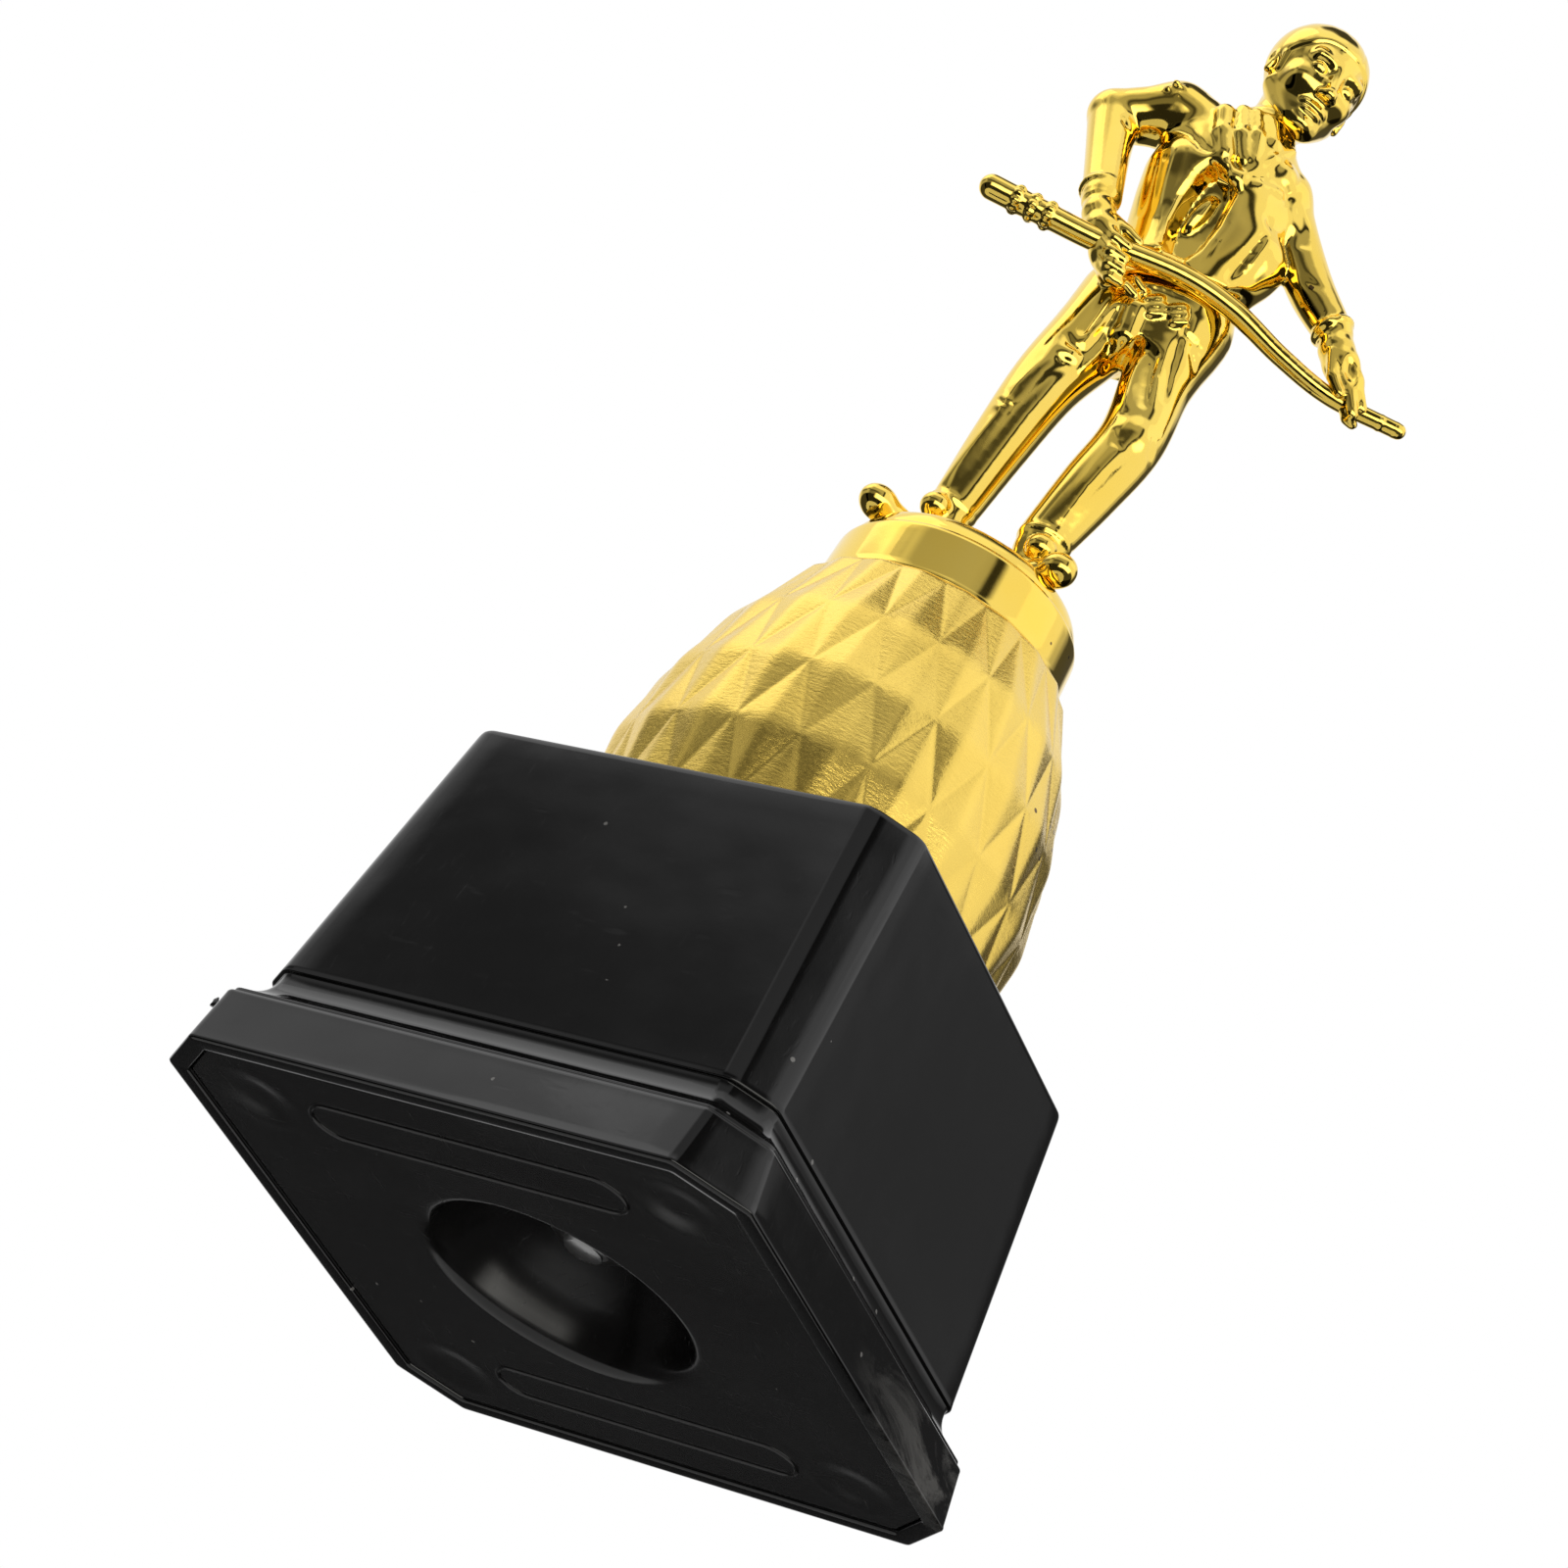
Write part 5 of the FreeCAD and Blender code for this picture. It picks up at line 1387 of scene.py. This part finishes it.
HEAD_AT = np.array([6.35, 6.5, 199.9])
HEAD_YAW, HEAD_NOD, HEAD_LEAN = math.radians(22), math.radians(16), math.radians(0)


def head_axes():
    f0 = np.array([math.sin(HEAD_YAW), math.cos(HEAD_YAW), 0.0])
    a0 = np.array([math.cos(HEAD_YAW), -math.sin(HEAD_YAW), 0.0])
    fwd = f0 * math.cos(HEAD_NOD) - UP * math.sin(HEAD_NOD)
    top = UP * math.cos(HEAD_NOD) + f0 * math.sin(HEAD_NOD)
    a = a0 * math.cos(HEAD_LEAN) + top * math.sin(HEAD_LEAN)
    return a, fwd, top * math.cos(HEAD_LEAN) - a0 * math.sin(HEAD_LEAN)


CUE = [(-23.1, 8.2, 158.5, 1.75), (-15.0, 9.0, 158.4, 1.68), (-7.0, 9.8, 158.4, 1.62), (3.8, 11.5, 158.9, 1.5), (11.8, 11.8, 158.0, 1.42), (20.3, 10.8, 156.0, 1.32),
       (28.4, 9.7, 155.2, 1.22), (38.1, 8.8, 156.5, 1.1)]


def sculpt_cue(h):
    f = Field((-27.0, 5.0, 151.5), (41.5, 14.6, 162.0), h)
    path = smooth_path(CUE, 6)
    f.add(tube(smooth_path(CUE, 18)), 0)
    along = path[3, :3] - path[0, :3]
    along /= np.linalg.norm(along)
    ax = frame_of(along)
    for k, dist in enumerate((3.6, 5.9, 8.2)):
        i = dist / np.linalg.norm(path[6, :3] - path[0, :3]) * 6
        c = path[0, :3] + along * dist
        f.add(torus(c, along, 1.3, 0.42), 0.15)
        for n in range(9):
            a = TAU * (n + 0.5 * (k % 2)) / 9
            f.add(blob(c + (ax[1] * math.cos(a) + ax[2] * math.sin(a)) * 1.52, (0.72, 0.62, 0.62), ax), 0.12)
    # ferrule and tip
    tail = path[-1, :3] - path[-4, :3]
    tail /= np.linalg.norm(tail)
    f.add(torus(path[-1, :3] - tail * 2.6, tail, 1.0, 0.22), 0.12)
    f.add(torus(path[-1, :3] - tail * 0.4, tail, 0.95, 0.2), 0.1)
    f.wobble(0.003, 3.0, 31)
    return f


def solid_from(name, field, place=None, rounds=1, amount=0.45):
    pos, quads = surface(field)
    pos = relax(pos, quads, 2, 0.5)
    pos = settle(pos, field)
    pos = relax(pos, quads, rounds, amount)
    pos = to_world(pos if place is None else place(pos))
    return outward(make_mesh(name, pos, quads))


GOLD = bright_gold("bright_gold_plating", 0.0, [(*to_world(np.array([[19.2, 9.6, 169.2]]))[0], 0.0009), (*to_world(np.array([[22.3, 10.0, 166.5]]))[0], 0.0005)])
body = solid_from("player_body", sculpt_body(0.33))
finish_piece(body, GOLD, ("figure",))
A_, F_, T_ = head_axes()
head = solid_from("player_head", sculpt_head(0.17), lambda p: HEAD_AT + p[:, :1] * A_ + p[:, 1:2] * F_ + p[:, 2:] * T_)
finish_piece(head, GOLD)
cue = solid_from("cue_shaft", sculpt_cue(0.2))
finish_piece(cue, bright_gold("bright_gold_cue_plating", 0.53), ("cue",))

# ------------------------------------------------------------------ stage, light and camera
def studio_floor():
    n = 96
    rings = [circle_ring(r, -300.0, n) for r in (5, 120, 240, 330)]
    rings.append(circle_ring(352, -297.0, n))
    rings.append(circle_ring(366, -288.0, n))
    v, q = ring_loft(rings, False)
    v, q, t = capped(v, q, n, True, False)
    ob = make_mesh("studio_floor", v, q, t)
    m = Nodes("studio_floor_paint")
    nz = m.noise(m.coord, 6, 3, 0.5)
    m.link(m.mix(m.range(nz, 0.3, 0.7, 0, 1), (0.80, 0.80, 0.79), (0.84, 0.84, 0.83)), m.bsdf.inputs["Base Color"])
    m.bsdf.inputs["Roughness"].default_value = 0.8
    ob.data.materials.append(m.mat)
    return ob


studio_floor()

scene = bpy.context.scene
world = bpy.data.worlds.new("studio_surroundings")
scene.world = world
world.use_nodes = True
wt = world.node_tree
wt.nodes.clear()
w_out = wt.nodes.new("ShaderNodeOutputWorld")
w_bg = wt.nodes.new("ShaderNodeBackground")
w_white = wt.nodes.new("ShaderNodeBackground")
w_white.inputs[0].default_value = (1, 1, 1, 1)
w_white.inputs[1].default_value = 1.0
w_mix = wt.nodes.new("ShaderNodeMixShader")
w_path = wt.nodes.new("ShaderNodeLightPath")
w_co = wt.nodes.new("ShaderNodeTexCoord")
w_sep = wt.nodes.new("ShaderNodeSeparateXYZ")
wt.links.new(w_co.outputs["Generated"], w_sep.inputs[0])


def wmath(op, a, b=None):
    n = wt.nodes.new("ShaderNodeMath")
    n.operation = op
    for i, v in enumerate((a, b)):
        if v is None:
            continue
        if isinstance(v, bpy.types.NodeSocket):
            wt.links.new(v, n.inputs[i])
        else:
            n.inputs[i].default_value = v
    return n.outputs[0]


def wramp(fac, stops):
    n = wt.nodes.new("ShaderNodeValToRGB")
    el = n.color_ramp.elements
    while len(el) > 1:
        el.remove(el[-1])
    for i, (pos, val) in enumerate(stops):
        e = el[0] if i == 0 else el.new(pos)
        e.position = pos
        e.color = (val, val, val, 1)
    wt.links.new(fac, n.inputs["Fac"])
    return n.outputs["Color"]


# bearing measured from the front-right of the pedestal, -180..180 degrees on 0..1
FRONT = math.radians(-54.07)
cf, sf = math.cos(FRONT), math.sin(FRONT)
x, y, z = w_sep.outputs
along = wmath("ADD", wmath("MULTIPLY", x, cf), wmath("MULTIPLY", y, sf))
side = wmath("ADD", wmath("MULTIPLY", x, -sf), wmath("MULTIPLY", y, cf))
bearing = wmath("ADD", wmath("DIVIDE", wmath("ARCTAN2", side, along), TAU), 0.5)
round_about = wramp(bearing, [(0.0, 0.92), (0.30, 0.95), (0.345, 0.40), (0.50, 0.44), (0.525, 0.40), (0.535, 0.03), (0.553, 0.03), (0.57, 0.95), (0.80, 0.95),
                              (1.0, 0.93)])
elevation = wmath("ADD", wmath("DIVIDE", wmath("ARCSINE", z), math.pi), 0.5)


def at_deg(e):
    return 0.5 + e / 180.0


low_horizon = wramp(elevation, [(0.0, 0.05), (at_deg(-6), 0.05), (at_deg(2), 1.0), (1.0, 1.0)])
high_horizon = wramp(elevation, [(0.0, 0.05), (at_deg(-6), 0.05), (at_deg(0), 0.45), (at_deg(13), 0.42), (at_deg(18), 0.14), (at_deg(22.5), 0.16), (at_deg(27), 0.62),
                                 (at_deg(32), 1.0), (1.0, 1.0)])
which = wramp(bearing, [(0.0, 0.0), (0.12, 0.0), (0.18, 1.0), (0.46, 1.0), (0.52, 0.0), (1.0, 0.0)])
# two narrow stands that only darken low down, one each side of the pedestal
stand = wramp(elevation, [(0.0, 0.0), (at_deg(-6), 0.0), (at_deg(0), 0.5), (at_deg(20), 0.5), (at_deg(28), 0.15), (at_deg(32), 0.2), (at_deg(36.5), 0.74), (at_deg(40), 1.0), (1.0, 1.0)])
stand_at = wramp(bearing, [(0.0, 0.0), (0.262, 0.0), (0.276, 1.0), (0.312, 1.0), (0.326, 0.0), (0.782, 0.0), (0.797, 0.85), (0.822, 0.85), (0.84, 0.0), (1.0, 0.0)])


def wmix(fac, a, b, blend="MIX"):
    n = wt.nodes.new("ShaderNodeMix")
    n.data_type = "RGBA"
    n.blend_type = blend
    for sock, v in ((n.inputs[0], fac), (n.inputs[6], a), (n.inputs[7], b)):
        if isinstance(v, bpy.types.NodeSocket):
            wt.links.new(v, sock)
        elif isinstance(v, tuple):
            sock.default_value = (*v, 1.0)
        else:
            sock.default_value = v
    return n.outputs[2]


gate = wmix(stand_at, wmix(which, low_horizon, high_horizon), stand)
# a dark screen standing low behind and to the right
screen = wramp(bearing, [(0.0, 0.0), (0.812, 0.0), (0.835, 1.0), (0.91, 1.0), (0.94, 0.0), (1.0, 0.0)])
screen_height = wramp(elevation, [(0.0, 1.0), (at_deg(38), 1.0), (at_deg(43), 0.0), (1.0, 0.0)])
screened = wmix(wmix(1.0, screen, screen_height, "MULTIPLY"), round_about, (0.07, 0.07, 0.07))
walls = wmix(1.0, screened, gate, "MULTIPLY")
# soft overhead fill, and an unlit patch of ceiling behind the pedestal
overhead = wramp(elevation, [(0.0, 0.0), (at_deg(46), 0.0), (at_deg(54), 1.0), (1.0, 1.0)])
with_top = wmix(overhead, walls, (0.92, 0.92, 0.92))
ce, se = math.cos(math.radians(84)), math.sin(math.radians(84))
ceiling = wmath("ADD", wmath("MULTIPLY", along, -ce), wmath("MULTIPLY", z, se))
patch = wramp(wmath("ADD", wmath("MULTIPLY", ceiling, 0.5), 0.5), [(0.0, 0.0), (0.5 + 0.5 * math.cos(math.radians(19)), 0.0), (0.5 + 0.5 * math.cos(math.radians(15)), 1.0), (1.0, 1.0)])
lit = wmix(patch, with_top, (0.05, 0.05, 0.05))
# a low reflector in front of the pedestal
kick_h = wramp(elevation, [(0.0, 0.0), (at_deg(-24), 0.0), (at_deg(-18), 1.0), (at_deg(3), 1.0), (at_deg(9), 0.0), (1.0, 0.0)])
kick_b = wramp(bearing, [(0.0, 0.0), (0.42, 0.0), (0.46, 1.0), (0.64, 1.0), (0.69, 0.0), (1.0, 0.0)])
wt.links.new(wmix(wmix(1.0, kick_h, kick_b, "MULTIPLY"), lit, (2.4, 2.35, 2.2)), w_bg.inputs[0])
w_bg.inputs[1].default_value = 1.0
wt.links.new(w_path.outputs["Is Camera Ray"], w_mix.inputs[0])
wt.links.new(w_bg.outputs[0], w_mix.inputs[1])
wt.links.new(w_white.outputs[0], w_mix.inputs[2])
wt.links.new(w_mix.outputs[0], w_out.inputs[0])


def softbox(name, bearing_deg, elevation_deg, distance, width, height_m, power):
    a, e = math.radians(-54.07 + bearing_deg), math.radians(elevation_deg)
    centre = Vector((0, 0, 0.105))
    at = centre + Vector((math.cos(a) * math.cos(e), math.sin(a) * math.cos(e), math.sin(e))) * distance
    light = bpy.data.lights.new(name, "AREA")
    light.shape = "RECTANGLE"
    light.size, light.size_y = width, height_m
    light.energy = power
    ob = bpy.data.objects.new(name, light)
    scene.collection.objects.link(ob)
    ob.location = at
    ob.rotation_mode = "QUATERNION"
    ob.rotation_quaternion = (centre - at).to_track_quat("-Z", "Y")
    return ob


softbox("softbox_left", -95, 50, 0.9, 0.5, 0.5, 0.34)
softbox("softbox_right", 70, 48, 0.9, 0.5, 0.5, 0.12)
softbox("softbox_top", -40, 66, 0.9, 0.6, 0.6, 0.15)

cam_data = bpy.data.cameras.new("view_camera")
cam = bpy.data.objects.new("view_camera", cam_data)
scene.collection.objects.link(cam)
cam_data.sensor_fit = "HORIZONTAL"
cam_data.sensor_width = 36.0
cam_data.lens = 95.8024
cam_data.clip_start, cam_data.clip_end = 0.01, 20.0
right, up, back = Vector((0.831345, 0.328381, 0.448365)), Vector((-0.164514, -0.625198, 0.76293)), Vector((0.530849, -0.708021, -0.465732))
cam.matrix_world = Matrix.Translation((0.263793, -0.364014, -0.164868)) @ Matrix((
    (right.x, up.x, back.x), (right.y, up.y, back.y), (right.z, up.z, back.z))).to_4x4()
scene.camera = cam
scene.view_settings.view_transform = "Standard"
